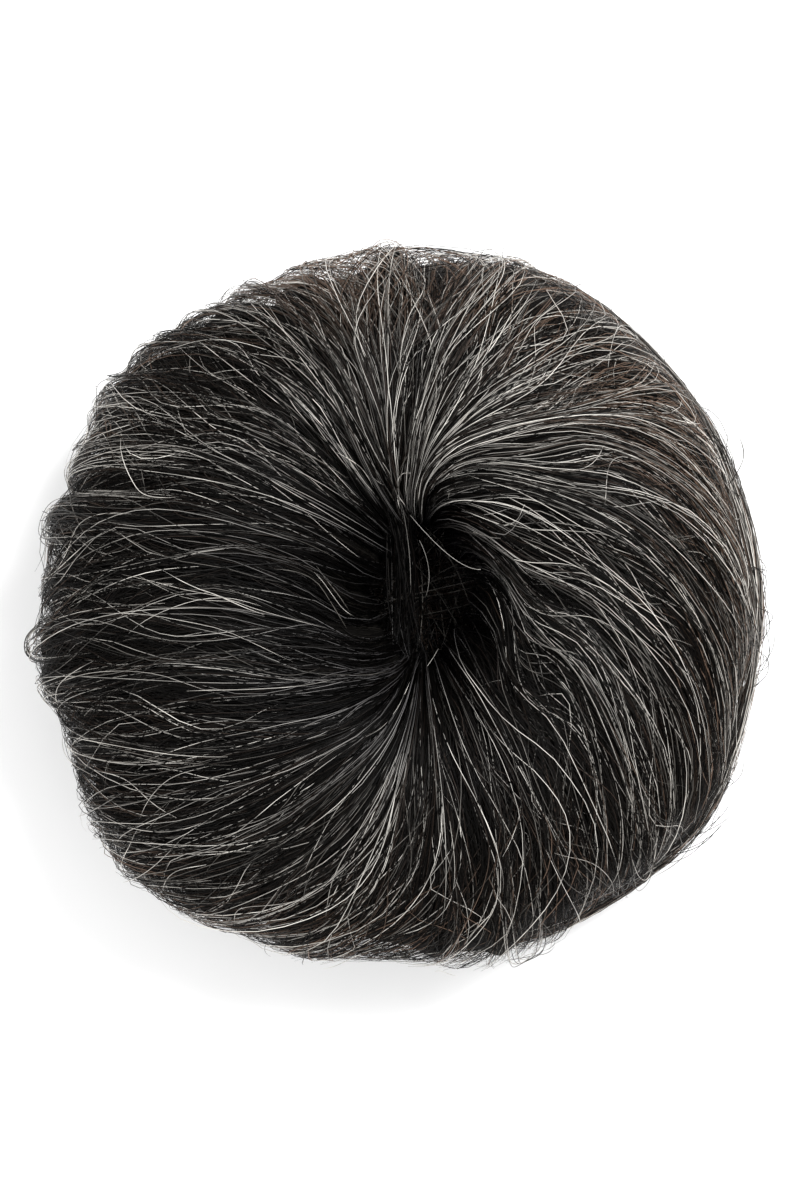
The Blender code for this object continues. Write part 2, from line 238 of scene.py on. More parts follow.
def flow(lock, roll):
    """The azimuth at a roll of the hair that lies at a place among the locks."""
    lock = np.clip(lock, -1, len(LOCKS) + 1) + 1
    before = np.minimum(lock.astype(int), len(FLOW) - 2)
    place = course_place(roll)
    place = np.where(place < 1, np.abs(place) ** PINCH, place)
    here, there = read_course(FLOW, before, place), read_course(FLOW, before + 1, place)
    return here + (there - here) * (lock - before)


OUTER_ROLL = math.radians(50)
PLACES = np.linspace(0, len(LOCKS), 8 * len(LOCKS) + 1)
outer_line = ring_surface(flow(PLACES, np.full(PLACES.shape, OUTER_ROLL)), np.full(PLACES.shape, OUTER_ROLL))
OUTER_WAY = np.append(0.0, np.cumsum(np.linalg.norm(np.diff(outer_line, axis=0), axis=1)))
LOCK_GAPS = np.gradient(OUTER_WAY, PLACES)
print("hair line outside the crown is", round(OUTER_WAY[-1] * 1000), "mm long")

# %% [markdown]
# The solids have raised locks, and the hair has to follow them. The height of the hair above the bare ring
# is worked out from the same tables: a lens across each lock, and along the rim whichever lock is highest.

# %% Height of the locks
SECTION_RADIUS = 0.025
MILLIMETRE = 0.001

# How far the hair stands off the solids round the rim: azimuth about the hole, millimetres
STAND = (
    (0, -0.2), (12, -1.0), (35, 0.9), (52, 1.5), (73, 2.5), (84, 0.9), (96, 1.9), (107, -0.2),
    (120, -2.8), (136, -2.6), (150, -1.0), (163, -3.8), (174, -1.3), (183, -1.0), (192, 0.4), (202, -2.6),
    (211, -0.6), (220, 2.0), (238, 0.0), (250, 2.2), (262, 0.4), (270, 0.8), (276, 2.8), (288, 1.4),
    (297, -3.0), (306, -1.2), (318, 0.3), (327, 1.6), (338, -2.2), (350, 0.6),
)

# Rolls between which it grows from nothing on the underside, and fades again on the crown
UNDERSIDE_FADE, CROWN_FADE = (-75, -30), (5, 60)

# Where the locks stay apart at the rim
SCALLOPS = ((0, 0.0), (112, 0.0), (125, 1.0), (165, 1.0), (180, 0.4), (230, 0.0))


def smooth_step(value, low, high):
    """Rises smoothly from 0 at low to 1 at high."""
    part_way = np.clip((value - low) / (high - low), 0, 1)
    return part_way**2 * (3 - 2 * part_way)


def smooth_max(first, second, blend=0.0008):
    """The greater of two heights, blended where they meet."""
    return (first + second + np.hypot(first - second, blend)) / 2


def stand_off(azimuth, roll):
    """How far the hair stands off the solids: nothing on the crown and on the underside."""
    at_rim = 1 - smooth_step(roll, *np.radians(CROWN_FADE))
    at_rim *= smooth_step(roll, *np.radians(UNDERSIDE_FADE))
    return read_cycle(STAND, azimuth) * MILLIMETRE * at_rim


print("the hair stands off the solids by up to", max(row[1] for row in STAND), "mm")

# %% Lenses of the locks
# The roll, in radians, below which the top layer's hair can lie on the under layer's
NEAR_CROWN = 1.4

# How deep and how sharp the seam between two locks is, and how much shallower it gets near the tips
SEAM_DEPTH, SEAM_SHARPNESS = 0.8, 2.4
SEAM_EVENED, EVENED_BETWEEN = 0.45, (0.55, 0.95)


def rim_relief(azimuth, roll):
    """Height above the ring of the under layer and its locks along the rim."""
    height = np.full(np.broadcast(azimuth, roll).shape, -(BACKING + GAP))
    for _, start, start_roll, end, end_roll, width in RIM_LOCKS:
        way = np.mod(start - np.degrees(azimuth), 360.0) / (start - end)
        inside = np.clip(way, 0, 1)
        middle = np.radians(start_roll + (end_roll - start_roll) * inside**2 * (3 - 2 * inside))
        share = read_course(RIM_SHARES, 0, inside * (len(RIM_SHARES) - 1))
        across = 2 * np.abs(roll - middle) * SECTION_RADIUS / (RIM_LOCK_WIDTH * width * share)
        lens = 1 - smooth_step(across, 0.3, 1.15)
        height = np.maximum(height, -(BACKING + GAP) + RIM_LOCK_DEPTH * share * lens * (way <= 1))
    return height


def relief(lock, roll):
    """Height above the ring of the hair at a place among the locks."""
    azimuth = flow(lock, np.zeros_like(roll))
    start = math.radians(HOLE_ROLL + HOLE_OVERHANG)
    tip = np.radians(read_cycle(EDGE, azimuth) - TIP_OVERHANG)
    along = np.clip((start - roll) / (start - tip), 0, 1)
    nearest = np.rint(lock).astype(int)
    evened = SEAM_EVENED * smooth_step(along, *EVENED_BETWEEN) * (1 - read_cycle(SCALLOPS, azimuth))
    lens = 1 - (SEAM_DEPTH - evened) * (2 * np.abs(lock - nearest)) ** SEAM_SHARPNESS
    depth = LOCK_DEPTH * read_course(LOCK_DEPTHS, 0, along * (len(LOCK_DEPTHS) - 1))
    lift = LOCK_LIFT * LIFTS[np.mod(nearest, len(LOCKS))] * np.sin(np.pi * along)
    on_top = (depth + lift) * lens - (BACKING + depth) * (1 - smooth_step(roll, tip - 0.15, tip + 0.05))
    here = flow(lock, roll)
    with_rim = smooth_max(on_top, rim_relief(here, roll))
    return np.where(roll < NEAR_CROWN, with_rim, on_top) + stand_off(here, roll)


lock_tops = relief(PLACES, np.full(PLACES.shape, OUTER_ROLL))
print("locks rise", (lock_tops.min() * 1000).round(1), "to", (lock_tops.max() * 1000).round(1), "mm")

# %% [markdown]
# The tubes are three-sided, which is enough for a hair a fifth of a millimetre thick. Each one is closed
# with a triangle at both ends, so the mesh is solid everywhere. A hair's UV map holds how far along it a
# point is and the hair's own tone, so one material gives every hair its own colour.

# %% Tubes from lines
SIDES = 3
MOST_TRIANGLES = 190000


def tube_points(points, normals, thickness):
    """The rings of points of every hair's tube."""
    along = np.gradient(points, axis=1)
    along /= np.linalg.norm(along, axis=-1, keepdims=True) + 1e-12
    side = np.cross(normals, along)
    side /= np.linalg.norm(side, axis=-1, keepdims=True) + 1e-12
    up = np.cross(along, side)
    turns = TURN * np.arange(SIDES) / SIDES + math.pi / 2
    ring = side[:, :, None] * np.cos(turns)[:, None] + up[:, :, None] * np.sin(turns)[:, None]
    return points[:, :, None] + ring * (thickness / 2)[:, :, None, None]


def hair_mesh(name, points, normals, thickness, tone, along):
    """Makes one mesh of every hair given."""
    hairs, steps = points.shape[:2]
    places = tube_points(points, normals, thickness).reshape(-1, 3)
    base = (np.arange(hairs) * steps * SIDES)[:, None, None]
    ring = (np.arange(steps - 1) * SIDES)[None, :, None]
    side = np.arange(SIDES)[None, None, :]
    following = (side + 1) % SIDES
    quads = np.stack((base + ring + side, base + ring + following, base + ring + SIDES + following,
                      base + ring + SIDES + side), axis=-1).reshape(-1, 4)
    start = (np.arange(hairs) * steps * SIDES)[:, None] + np.array([2, 1, 0])
    end = (np.arange(hairs) * steps * SIDES)[:, None] + (steps - 1) * SIDES + np.arange(3)
    caps = np.concatenate((start, end))
    loops = np.concatenate((quads.ravel(), caps.ravel()))
    sizes = np.concatenate((np.full(len(quads), 4), np.full(len(caps), 3)))
    mesh = bpy.data.meshes.new(name)
    mesh.vertices.add(len(places))
    mesh.vertices.foreach_set("co", places.astype(np.float32).ravel())
    mesh.loops.add(len(loops))
    mesh.loops.foreach_set("vertex_index", loops.astype(np.int32))
    mesh.polygons.add(len(sizes))
    mesh.polygons.foreach_set("loop_start", np.append(0, np.cumsum(sizes)[:-1]).astype(np.int32))
    mesh.polygons.foreach_set("use_smooth", np.ones(len(sizes), dtype=bool))
    tones = mesh.uv_layers.new(name="OFBake")
    hair, step = loops // (steps * SIDES), loops // SIDES % steps
    place = np.clip(along, 0, 1)[hair, step]
    tones.data.foreach_set("uv", np.stack((place, tone[hair]), axis=1).astype(np.float32).ravel())
    mesh.update(calc_edges=True)
    piece = bpy.data.objects.new(name, mesh)
    bpy.context.scene.collection.objects.link(piece)
    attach(piece, "root")
    print(name, hairs, "hairs,", 2 * len(quads) + len(caps), "triangles")
    return piece


print("a hair's tube has", SIDES, "sides")

# %% [markdown]
# False hair is a glossy fibre: a dark core colour under a clear, slightly rough surface. Blender's hair
# shader is made for curves, so the Principled shader gives the sheen with its own highlight. What every
# shade shares is a node group: it spreads the shade by the hair's tone, varies it in patches along the hair,
# which are partly the hair's own uneven colour and partly painted shade where it dips under the others,
# darkens the root with painted shade of the deep pit and can warm the tip.

# %% Helpers for nodes
def link_mix(tree, blend, factor, first, second):
    """Adds a colour mix to a node tree and returns its result; each input is a socket or a value."""
    mix = tree.nodes.new("ShaderNodeMix")
    mix.data_type, mix.blend_type = "RGBA", blend
    for name, given in (("Factor", factor), ("A", first), ("B", second)):
        kind = "VALUE" if name == "Factor" else "RGBA"
        socket = next(s for s in mix.inputs if s.name == name and s.type == kind)
        if isinstance(given, bpy.types.NodeSocket):
            tree.links.new(given, socket)
        else:
            socket.default_value = given
    return next(s for s in mix.outputs if s.type == "RGBA")


def link_range(tree, value, low, high, to_low, to_high):
    """Adds a smooth map from one range to another and returns its result."""
    spread = tree.nodes.new("ShaderNodeMapRange")
    spread.interpolation_type = "SMOOTHSTEP"
    for name, given in (("From Min", low), ("From Max", high), ("To Min", to_low), ("To Max", to_high)):
        if isinstance(given, bpy.types.NodeSocket):
            tree.links.new(given, spread.inputs[name])
        else:
            spread.inputs[name].default_value = given
    tree.links.new(value, spread.inputs["Value"])
    return spread.outputs["Result"]


print("helpers:", link_mix.__name__, link_range.__name__)

# %% Hair tone, as a node group
TONE_INPUTS = (
    ("Place", "Vector"), ("Dark", "Color"), ("Light", "Color"), ("Tip", "Color"), ("Tip Share", "Float"),
)

# Patches along a hair, partly its own uneven colour and partly painted shade where it dips under the others:
# how often they change along it and from hair to hair, and what they let through
PATCH_SCALE = (9.0, 140.0, 0.0)
PATCH_TONE_AND_PAINTED_SHADE = (0.30, 0.30, 0.30, 1.0)

# Painted shade of the deep pit near each hair's root: what it lets through, where it starts to fade, where
# it ends, and the change with the tone
PIT_SHADE_COLOUR = (0.20, 0.20, 0.22, 1.0)
PIT_SHADE_FADE, PIT_SHADE_END, PIT_SHADE_END_CHANGE = 0.10, 0.66, -0.35

# Where along a hair the tip's colour comes in
TIP_FADE = (0.50, 0.85)


def make_tone_and_shade_group():
    """The colour of a hair from the place along it and its own tone; painted shade darkens its root and
    partly its patches.
    """
    tree = bpy.data.node_groups.new("hair_tone_and_shade", "ShaderNodeTree")
    for name, kind in TONE_INPUTS:
        tree.interface.new_socket(name, in_out="INPUT", socket_type="NodeSocket" + kind)
    tree.interface.new_socket("Color", in_out="OUTPUT", socket_type="NodeSocketColor")
    given, result = tree.nodes.new("NodeGroupInput"), tree.nodes.new("NodeGroupOutput")
    parts = tree.nodes.new("ShaderNodeSeparateXYZ")
    tree.links.new(given.outputs["Place"], parts.inputs["Vector"])
    stretch = tree.nodes.new("ShaderNodeVectorMath")
    stretch.operation = "MULTIPLY"
    stretch.inputs[1].default_value = PATCH_SCALE
    tree.links.new(given.outputs["Place"], stretch.inputs[0])
    patches = tree.nodes.new("ShaderNodeTexNoise")
    patches.inputs["Scale"].default_value = 1.0
    tree.links.new(stretch.outputs["Vector"], patches.inputs["Vector"])
    shade = link_mix(tree, "MIX", parts.outputs["Y"], given.outputs["Dark"], given.outputs["Light"])
    patchy = link_range(tree, patches.outputs["Fac"], 0.3, 0.7, 0.0, 1.0)
    # Patches: partly the hair's own uneven colour, partly painted shade where it dips under the others
    shade = link_mix(tree, "MULTIPLY", patchy, shade, PATCH_TONE_AND_PAINTED_SHADE)
    pit_shade_limit = tree.nodes.new("ShaderNodeMath")
    pit_shade_limit.operation = "MULTIPLY_ADD"
    tree.links.new(parts.outputs["Y"], pit_shade_limit.inputs[0])
    pit_shade_limit.inputs[1].default_value = PIT_SHADE_END_CHANGE
    pit_shade_limit.inputs[2].default_value = PIT_SHADE_END
    # Painted shade of the deep pit: darkens each hair near its root
    root = link_range(tree, parts.outputs["X"], PIT_SHADE_FADE, pit_shade_limit.outputs["Value"], 1.0, 0.0)
    shade = link_mix(tree, "MULTIPLY", root, shade, PIT_SHADE_COLOUR)
    tip = link_range(tree, parts.outputs["X"], *TIP_FADE, 0.0, given.outputs["Tip Share"])
    shade = link_mix(tree, "MIX", tip, shade, given.outputs["Tip"])
    tree.links.new(shade, result.inputs["Color"])
    return tree


hair_tone_and_shade = make_tone_and_shade_group()
print("group", hair_tone_and_shade.name, "takes", [row[0] for row in TONE_INPUTS])

# %% Shades of hair
SHADES = {
    # shade: darkest, lightest and tip colour; share of the tip colour, roughness, gloss, record slot
    "black": ((0.0022, 0.0019, 0.0017), (0.008, 0.0068, 0.0058), (0.010, 0.008, 0.007),
              0.3, 0.48, 0.10, "top_hair"),
    "brown": ((0.006, 0.0043, 0.0034), (0.028, 0.019, 0.014), (0.034, 0.022, 0.015),
              0.5, 0.48, 0.12, "under_hair"),
    "bronze": ((0.008, 0.006, 0.005), (0.045, 0.032, 0.025), (0.190, 0.125, 0.090),
               0.9, 0.46, 0.20, "under_hair"),
    "grey": ((0.028, 0.026, 0.023), (0.170, 0.158, 0.142), (0.16, 0.145, 0.125),
             0.3, 0.42, 0.30, "grey_hair"),
    "silver": ((0.42, 0.395, 0.36), (0.94, 0.90, 0.83), (0.76, 0.71, 0.64),
               0.3, 0.38, 0.50, "grey_hair"),
}


def hair_material(name, dark, light, tip, tip_share, roughness, gloss):
    """A glossy fibre of one shade."""
    material = bpy.data.materials.new(name)
    material.use_nodes = True
    nodes, links = material.node_tree.nodes, material.node_tree.links
    shader = nodes["Principled BSDF"]
    place = nodes.new("ShaderNodeUVMap")
    place.uv_map = "OFBake"
    tone = nodes.new("ShaderNodeGroup")
    tone.node_tree = hair_tone_and_shade
    for socket, colour in (("Dark", dark), ("Light", light), ("Tip", tip)):
        tone.inputs[socket].default_value = (*colour, 1.0)
    tone.inputs["Tip Share"].default_value = tip_share
    links.new(place.outputs["UV"], tone.inputs["Place"])
    links.new(tone.outputs["Color"], shader.inputs["Base Color"])
    shader.inputs["Roughness"].default_value = roughness
    shader.inputs["Specular IOR Level"].default_value = gloss
    return material


shade_materials = {name: hair_material(name + "_hair", *row[:6]) for name, row in SHADES.items()}
print("shades:", list(shade_materials))

# %% [markdown]
# Hairs start in the hole, cling together in wisps, wander a little and end under the rim. Particle hair
# could be combed along the locks, but then the export would have no meshes. So each hair is a thin tube,
# laid in five passes: a dense dark under layer, the body of the hair, short hairs woven through it, lighter
# wisps that cross it at a slant, and single strays. That crossing tells hair from a combed brush.

# %% How the hair changes round the ring
# Where the top layer's hairs end: azimuth about the hole, roll
END = ((0, 6), (45, -6), (90, -32), (135, -44), (180, -48), (225, -42), (262, -26), (285, 2), (315, 6))

# How far the tips stand out from the hair below, in millimetres
FLARE = (
    (0, 0.0), (60, 0.2), (115, 0.3), (150, 0.6), (200, 0.4), (250, 0.2), (285, 0.8), (298, 2.2), (306, 0.2),
)

# How far the tips curl along the rim, clockwise, in millimetres
CURL = (
    (0, 5.0), (60, 3.0), (95, -3.0), (122, -8.0), (160, -5.0), (195, -1.0),
    (215, 5.0), (240, 13.0), (270, 13.0), (290, 3.0), (300, -2.0), (320, 4.0),
)

# Share of the dark hairs that are bronze towards their tips
BRONZE = (
    (0, 0.20), (35, 0.50), (60, 0.20), (95, 0.35), (112, 0.80),
    (135, 0.12), (200, 0.04), (250, 0.18), (285, 0.04), (320, 0.05),
)

# How much grey and silver there is
SILVER = (
    (0, 1.05), (45, 1.40), (80, 1.50), (112, 1.70), (135, 1.20),
    (180, 0.80), (225, 0.85), (270, 0.70), (300, 0.72), (330, 0.85),
)

# How much further from the pit the painted shade of its depth keeps the hair dark, as a share of its length
PIT_SHADE_REACH = (
    (0, 0.04), (45, -0.02), (100, 0.00), (150, 0.05), (200, 0.13), (235, 0.13), (270, 0.06), (310, 0.05),
)

# The passes of wisps; thickness, spread, drift, lowest and highest are in millimetres
WISPS = (
    # name, wisps, hairs, steps, thickness, spread, drift, lowest, highest, reach, black, brown, grey, silver
    ("under", 120, 7, 13, 0.22, 4.4, 3.0, -1.4, -0.3, 1.00, 0.88, 0.12, 0.00, 0.00),
    ("body", 280, 6, 18, 0.13, 4.0, 5.5, -1.0, 0.5, 0.80, 0.72, 0.12, 0.08, 0.08),
    ("weave", 620, 7, 11, 0.13, 3.2, 6.0, -1.1, 1.0, 0.34, 0.70, 0.12, 0.08, 0.10),
    ("over", 180, 4, 21, 0.13, 3.0, 8.0, -0.2, 1.2, 0.75, 0.54, 0.10, 0.14, 0.22),
    ("stray", 290, 1, 21, 0.13, 0.0, 9.0, 0.2, 1.8, 0.70, 0.30, 0.08, 0.24, 0.38),
)
print("passes of wisps:", [row[0] for row in WISPS])

# %% Chance
SEED = 41
dice = np.random.default_rng(SEED)


def wander(count, way, most_turns):
    """Smooth random wandering between about -1 and 1, one row for each line."""
    total = np.zeros((count, len(way)))
    for _ in range(3):
        turns = dice.uniform(0.3, most_turns, (count, 1))
        total += np.sin(TURN * (turns * way[None, :] + dice.random((count, 1))))
    return total / 2.2


def places_among_locks(count):
    """Places among the locks, evenly spread round the outer crown."""
    along = (np.arange(count) + dice.random(count)) / count * OUTER_WAY[-1]
    return np.interp(along, OUTER_WAY, PLACES)


def pick_shades(shares, silvery, bronze):
    """A shade for each hair, from its pass's shares, its wisp's share of grey and its place's of bronze."""
    black, brown, grey, silver = shares
    dark = np.full_like(silvery, black), np.full_like(silvery, brown)
    weights = np.stack((*dark, grey * silvery, silver * silvery))
    limits = np.cumsum(weights / weights.sum(0), axis=0)
    pick = (dice.random(len(silvery))[None, :] > limits[:3]).sum(0)
    names = np.array(("black", "brown", "grey", "silver"))[pick]
    return np.where((pick < 2) & (dice.random(len(silvery)) < bronze), "bronze", names)


def even_shades(shares, count):
    """Shades for hairs whose mix is the same all round the ring."""
    return pick_shades(shares, np.ones(count), np.zeros(count))


def varied(thickness, count, least=0.8):
    """Each hair's thickness in metres, from the usual one in millimetres."""
    return thickness * MILLIMETRE * dice.uniform(least, 1.2, (count, 1))


def thin_ends(way, share=0.15):
    """How much thinner a hair gets towards both ends."""
    return np.clip(np.minimum(way, 1 - way) / share, 0.3, 1)[None, :]


print("chance comes from", type(dice.bit_generator).__name__, "with seed", SEED)

# %% Dive into the pit
# Where a diving hair ends: its place as a share of the wall's, its scatter and its height, in metres
FOOT_SHARES = (0.15, 0.85)
FOOT_SCATTER = (0.0018, 0.0022)
FOOT_HEIGHTS = (0.005, 0.016)

# How much of a hair bends away, and how many of the hairs do
DIVE_LENGTH, DIVING = 0.20, 0.6


def dive(points, along):
    """Bends the hole end of some hairs off the wall and down across the slit of the pit."""
    count = len(points)
    wall = points[:, 0] - (HOLE_X, HOLE_Y, 0)
    foot = np.stack((HOLE_X + FOOT_SHARES[0] * wall[:, 0] + dice.normal(0, FOOT_SCATTER[0], count),
                     HOLE_Y + FOOT_SHARES[1] * wall[:, 1] + dice.normal(0, FOOT_SCATTER[1], count),
                     dice.uniform(*FOOT_HEIGHTS, count)), axis=1)
    bend = np.clip(1 - np.maximum(along, 0) / DIVE_LENGTH, 0, 1) ** 1.6
    pull = bend * (dice.random((count, 1)) < DIVING)
    return points + (foot[:, None] - points) * pull[:, :, None]


def smooth_along(values, passes=5):
    """Evens out values along each hair."""
    for _ in range(passes):
        values[:, 1:-1] = (values[:, :-2] + 2 * values[:, 1:-1] + values[:, 2:]) / 4
    return values


print("of the hairs that start in the hole,", DIVING, "dive")

# %% Where a wisp's hairs lie
# Passes of a shorter reach than this are arched, like short hairs woven through the others
SHORT_REACH = 0.5

# How tightly locks may close up before their hairs stop closing up with them, in metres
SMALLEST_GAP = 0.009

# How evenly grey is shared among the wisps; at 1 most wisps have none and a few have much
WISP_EVENNESS, RIM_EVENNESS = 2.2, 1.6


def spread_across(of_wisp, way, along, rim, spread, drift, short):
    """How far each hair lies to the side of its wisp's place, in millimetres."""
    wisps, count = of_wisp[-1] + 1, len(of_wisp)
    tightness = dice.uniform(0.0, 0.7, wisps)[of_wisp][:, None]
    across = spread * dice.normal(0, 0.42, count)[:, None] * (1 - tightness * way**1.5)
    across = across + (drift * wander(wisps, way, 1.4))[of_wisp] * np.clip(along, 0, 1) ** 0.7
    across = across + (1.4 if short else 1.0) * wander(count, way, 1.6) * np.clip(along, 0, 1) ** 0.5
    return across + read_cycle(CURL, rim)[:, None] * np.clip((along - 0.7) / 0.3, 0, 1) ** 1.5


def stand_above(of_wisp, way, along, rim, lowest, highest, first, short):
    """How high each hair lies above the locks, in millimetres."""
    wisps, count = of_wisp[-1] + 1, len(of_wisp)
    if short:
        arch = np.sin(np.pi * way) ** 0.8
        level = (lowest + (highest - lowest) * dice.uniform(0.6, 1.1, (wisps, 1)) * arch)[of_wisp]
    else:
        level = dice.uniform(lowest, highest, wisps)[of_wisp][:, None]
        level = level + 0.75 * wander(wisps, way, 1.8)[of_wisp]
        level = level - 1.2 * np.clip(1 - way * 6, 0, 1) * (first[of_wisp] > 0.02)[:, None]
    level = level + dice.normal(0, 0.30, count)[:, None] + 0.25 * wander(count, way, 2.5)
    level = level * np.clip(along * 4 + 0.3, 0, 1) * np.clip(4 - along * 4, 0.4, 1)
    flare = read_cycle(FLARE, rim)[:, None] * np.clip(along * 5 - 4, 0, 1) ** 2
    tuck = -0.7 * np.clip(along * 8 - 7, 0, 1)
    return level + flare + tuck


print("short passes:", [row[0] for row in WISPS if row[9] < SHORT_REACH])

# %% Wisps
def lay_wisps(row):
    """Lays one pass of wisps: its hairs' points, normals, thickness, shades and places along them."""
    _, wisps, hairs, steps, thickness, spread, drift, lowest, highest, reach, *shares = row
    count, short = wisps * hairs, reach < SHORT_REACH
    of_wisp = np.repeat(np.arange(wisps), hairs)
    way = np.linspace(0, 1, steps)
    share = np.minimum(reach * dice.uniform(0.6, 1.4, wisps), 1)
    first = dice.random(wisps) ** 0.8 * (1 - share)
    slip = dice.normal(0, 0.03, (count, 1)) * (share[of_wisp][:, None] < 1)
    along = (first[of_wisp] + share[of_wisp] * way[:, None]).T + slip
    lock = places_among_locks(wisps)
    gap = np.interp(lock, PLACES, LOCK_GAPS)[of_wisp][:, None]
    rim = flow(lock, np.zeros(wisps))[of_wisp]
    start = HOLE_ROLL + HOLE_OVERHANG + dice.uniform(-5, 5, count)
    end = read_cycle(END, rim) + dice.normal(0, 4, wisps)[of_wisp] + dice.normal(0, 3, count)
    eased = along + 0.05 * np.sin(TURN * along)
    roll = np.radians(start[:, None] + (end - start)[:, None] * eased)
    across = spread_across(of_wisp, way, along, rim, spread, drift, short)
    places = lock[of_wisp][:, None] + across * MILLIMETRE / np.maximum(gap, SMALLEST_GAP)
    level = stand_above(of_wisp, way, along, rim, lowest, highest, first, short)
    height = smooth_along(relief(places, roll) + level * MILLIMETRE)
    points, normals = raised(flow(places, roll), roll, height)
    points = dive(points, along)
    silvery = dice.gamma(WISP_EVENNESS, 1 / WISP_EVENNESS, wisps)[of_wisp] * read_cycle(SILVER, rim)
    shades = pick_shades(shares, silvery, read_cycle(BRONZE, rim))
    ends = np.clip((1 - way) / 0.2, 0.3, 1)[None, :]
    width = varied(thickness, count, 0.75) * ends * np.clip(0.5 + 1.4 * along, 0.5, 1)
    # Painted shade of the pit reaches further out on some sides: the place along the hair moves back to the
    # root
    place_with_pit_shade = along - read_cycle(PIT_SHADE_REACH, rim)[:, None] * np.clip(2 - 2 * along, 0, 1)
    return points, normals, width, shades, place_with_pit_shade


print("wisps in all:", sum(row[1] for row in WISPS))

# %% Meshes from laid hairs
def collect(name, laid):
    """Makes meshes of laid hairs, one or more for each shade."""
    points, normals, thickness, shades, along = laid
    tones = dice.random(len(points))
    most = MOST_TRIANGLES // (2 * SIDES * (points.shape[1] - 1) + 2)
    for shade in SHADES:
        mine = np.flatnonzero(shades == shade)
        parts = math.ceil(len(mine) / most)
        for number, some in enumerate(np.array_split(mine, max(parts, 1)) if parts else ()):
            label = f"{name}_{shade}" + (f"_{number + 1}" if parts > 1 else "")
            piece = hair_mesh(label, points[some], normals[some], thickness[some], tones[some], along[some])
            piece.data.materials.append(shade_materials[shade])
    print(name, "has", len(points), "hairs")


for row in WISPS:
    collect(row[0], lay_wisps(row))

# %% [markdown]
# The under layer runs round the rim in long, nearly level locks. More of it is brown, and it shows as a
# band outside the top layer on the right. Its hairs follow the rim's own locks, and thin filling wisps
# run over the bare backing between them.

# %% Hair along the rim
RIM_STEPS = 14
RIM_THICKNESS = 0.14

# Shares of black, brown, grey and silver hairs
RIM_MIX = (0.50, 0.24, 0.16, 0.10)


def lay_along(start, end, start_roll, end_roll, hairs, spread, sink):
    """Lays hairs along the rim between two places, and returns them as lay_wisps does."""
    wisps = max(2, hairs // 8)
    of_wisp = dice.integers(0, wisps, hairs)
    way = np.linspace(0, 1, RIM_STEPS)
    begin = dice.uniform(-0.08, 0.10, hairs)[:, None]
    finish = 1 + dice.uniform(-0.12, 0.08, hairs)[:, None]
    along = begin + (finish - begin) * way
    eased = np.clip(along, 0, 1) ** 2 * (3 - 2 * np.clip(along, 0, 1))
    azimuth = np.radians(start + (end - start) * along)
    across = (dice.uniform(-0.5, 0.5, wisps)[of_wisp] + dice.normal(0, 0.05, hairs))[:, None] * spread
    across = across + 1.3 * wander(wisps, way, 1.2)[of_wisp] + 0.4 * wander(hairs, way, 2.0)
    roll = np.radians(start_roll + (end_roll - start_roll) * eased) + across * MILLIMETRE / SECTION_RADIUS
    level = dice.uniform(-0.7, 0.5, wisps)[of_wisp] + dice.normal(0, 0.25, hairs) - sink
    height = rim_relief(azimuth, roll) + stand_off(azimuth, roll)
    height += (level[:, None] + 0.3 * wander(hairs, way, 1.5)) * MILLIMETRE
    points, normals = raised(azimuth, roll, smooth_along(height))
    silvery = dice.gamma(RIM_EVENNESS, 1 / RIM_EVENNESS, wisps)[of_wisp]
    shades = pick_shades(RIM_MIX, silvery, read_cycle(BRONZE, azimuth[:, 0]) * 0.8)
    width = varied(RIM_THICKNESS, hairs, 0.75) * thin_ends(way, 0.12)
    return points, normals, width, shades, 0.45 + 0.55 * along


def join_laid(laid):
    """Joins several sets of laid hairs."""
    return [np.concatenate(column) for column in zip(*laid)]


print("locks along the rim:", [row[0] for row in RIM_LOCKS])

# %% Locks along the rim and wisps that fill between them
LOCK_HAIRS, LOCK_SPREAD = 165, 13.5
FILLINGS, FILLING_HAIRS, FILLING_SPREAD, FILLING_SINK = 46, 9, 2.5, -0.3

rim_hairs = []
for _, begin, begin_roll, end, end_roll, width in RIM_LOCKS:
    hairs, spread = int(LOCK_HAIRS * width), LOCK_SPREAD * width
    rim_hairs.append(lay_along(begin, end, begin_roll, end_roll, hairs, spread, 0.0))
for _ in range(FILLINGS):
    begin = dice.uniform(-70, 125)
    end = begin - dice.uniform(40, 80)
    begin_roll, end_roll = dice.uniform(-20, 12), dice.uniform(-20, 12)
    laid = lay_along(begin, end, begin_roll, end_roll, FILLING_HAIRS, FILLING_SPREAD, FILLING_SINK)
    rim_hairs.append(laid)
collect("rim", join_laid(rim_hairs))

# %% [markdown]
# On the left many hairs turn back before the rim and leave loops. A loop runs out along one course, turns
# and comes back beside it. Random hairs never make one, so the loops are laid one by one from a table.

# %% Loops that turn back at the rim
LOOPS = (
    # name, place among the locks, width in locks, rolls at its start and its turn, height (mm), hairs
    ("eye", 22.35, 0.62, 78, 12, 1.6, 16),
    ("eye_low", 22.3, 0.80, 70, 6, 1.2, 10),
    ("lobe_high", 21.6, 0.70, 60, 2, 0.8, 8),
    ("lobe_low", 19.5, 0.80, 66, 4, 0.8, 12),
    ("lobe_foot", 18.6, 0.60, 60, 8, 0.8, 7),
    ("curl_1", 23.2, 0.55, 56, 2, 1.4, 8),
    ("curl_2", 24.2, 0.60, 52, 0, 1.4, 8),
    ("curl_3", 25.2, 0.60, 50, 0, 1.3, 8),
    ("curl_4", 26.2, 0.60, 50, 2, 1.3, 8),
    ("curl_5", 27.1, 0.50, 44, 4, 1.2, 7),
    ("hook_right", 6.4, -0.50, 60, 22, 1.2, 5),
    ("hook_low", 9.6, -0.55, 58, 26, 1.4, 6),
    ("hook_foot", 11.4, 0.50, 50, 10, 1.5, 6),
)
LOOP_STEPS, LOOP_THICKNESS = 24, 0.13
LOOP_MIX = (0.25, 0.10, 0.35, 0.30)


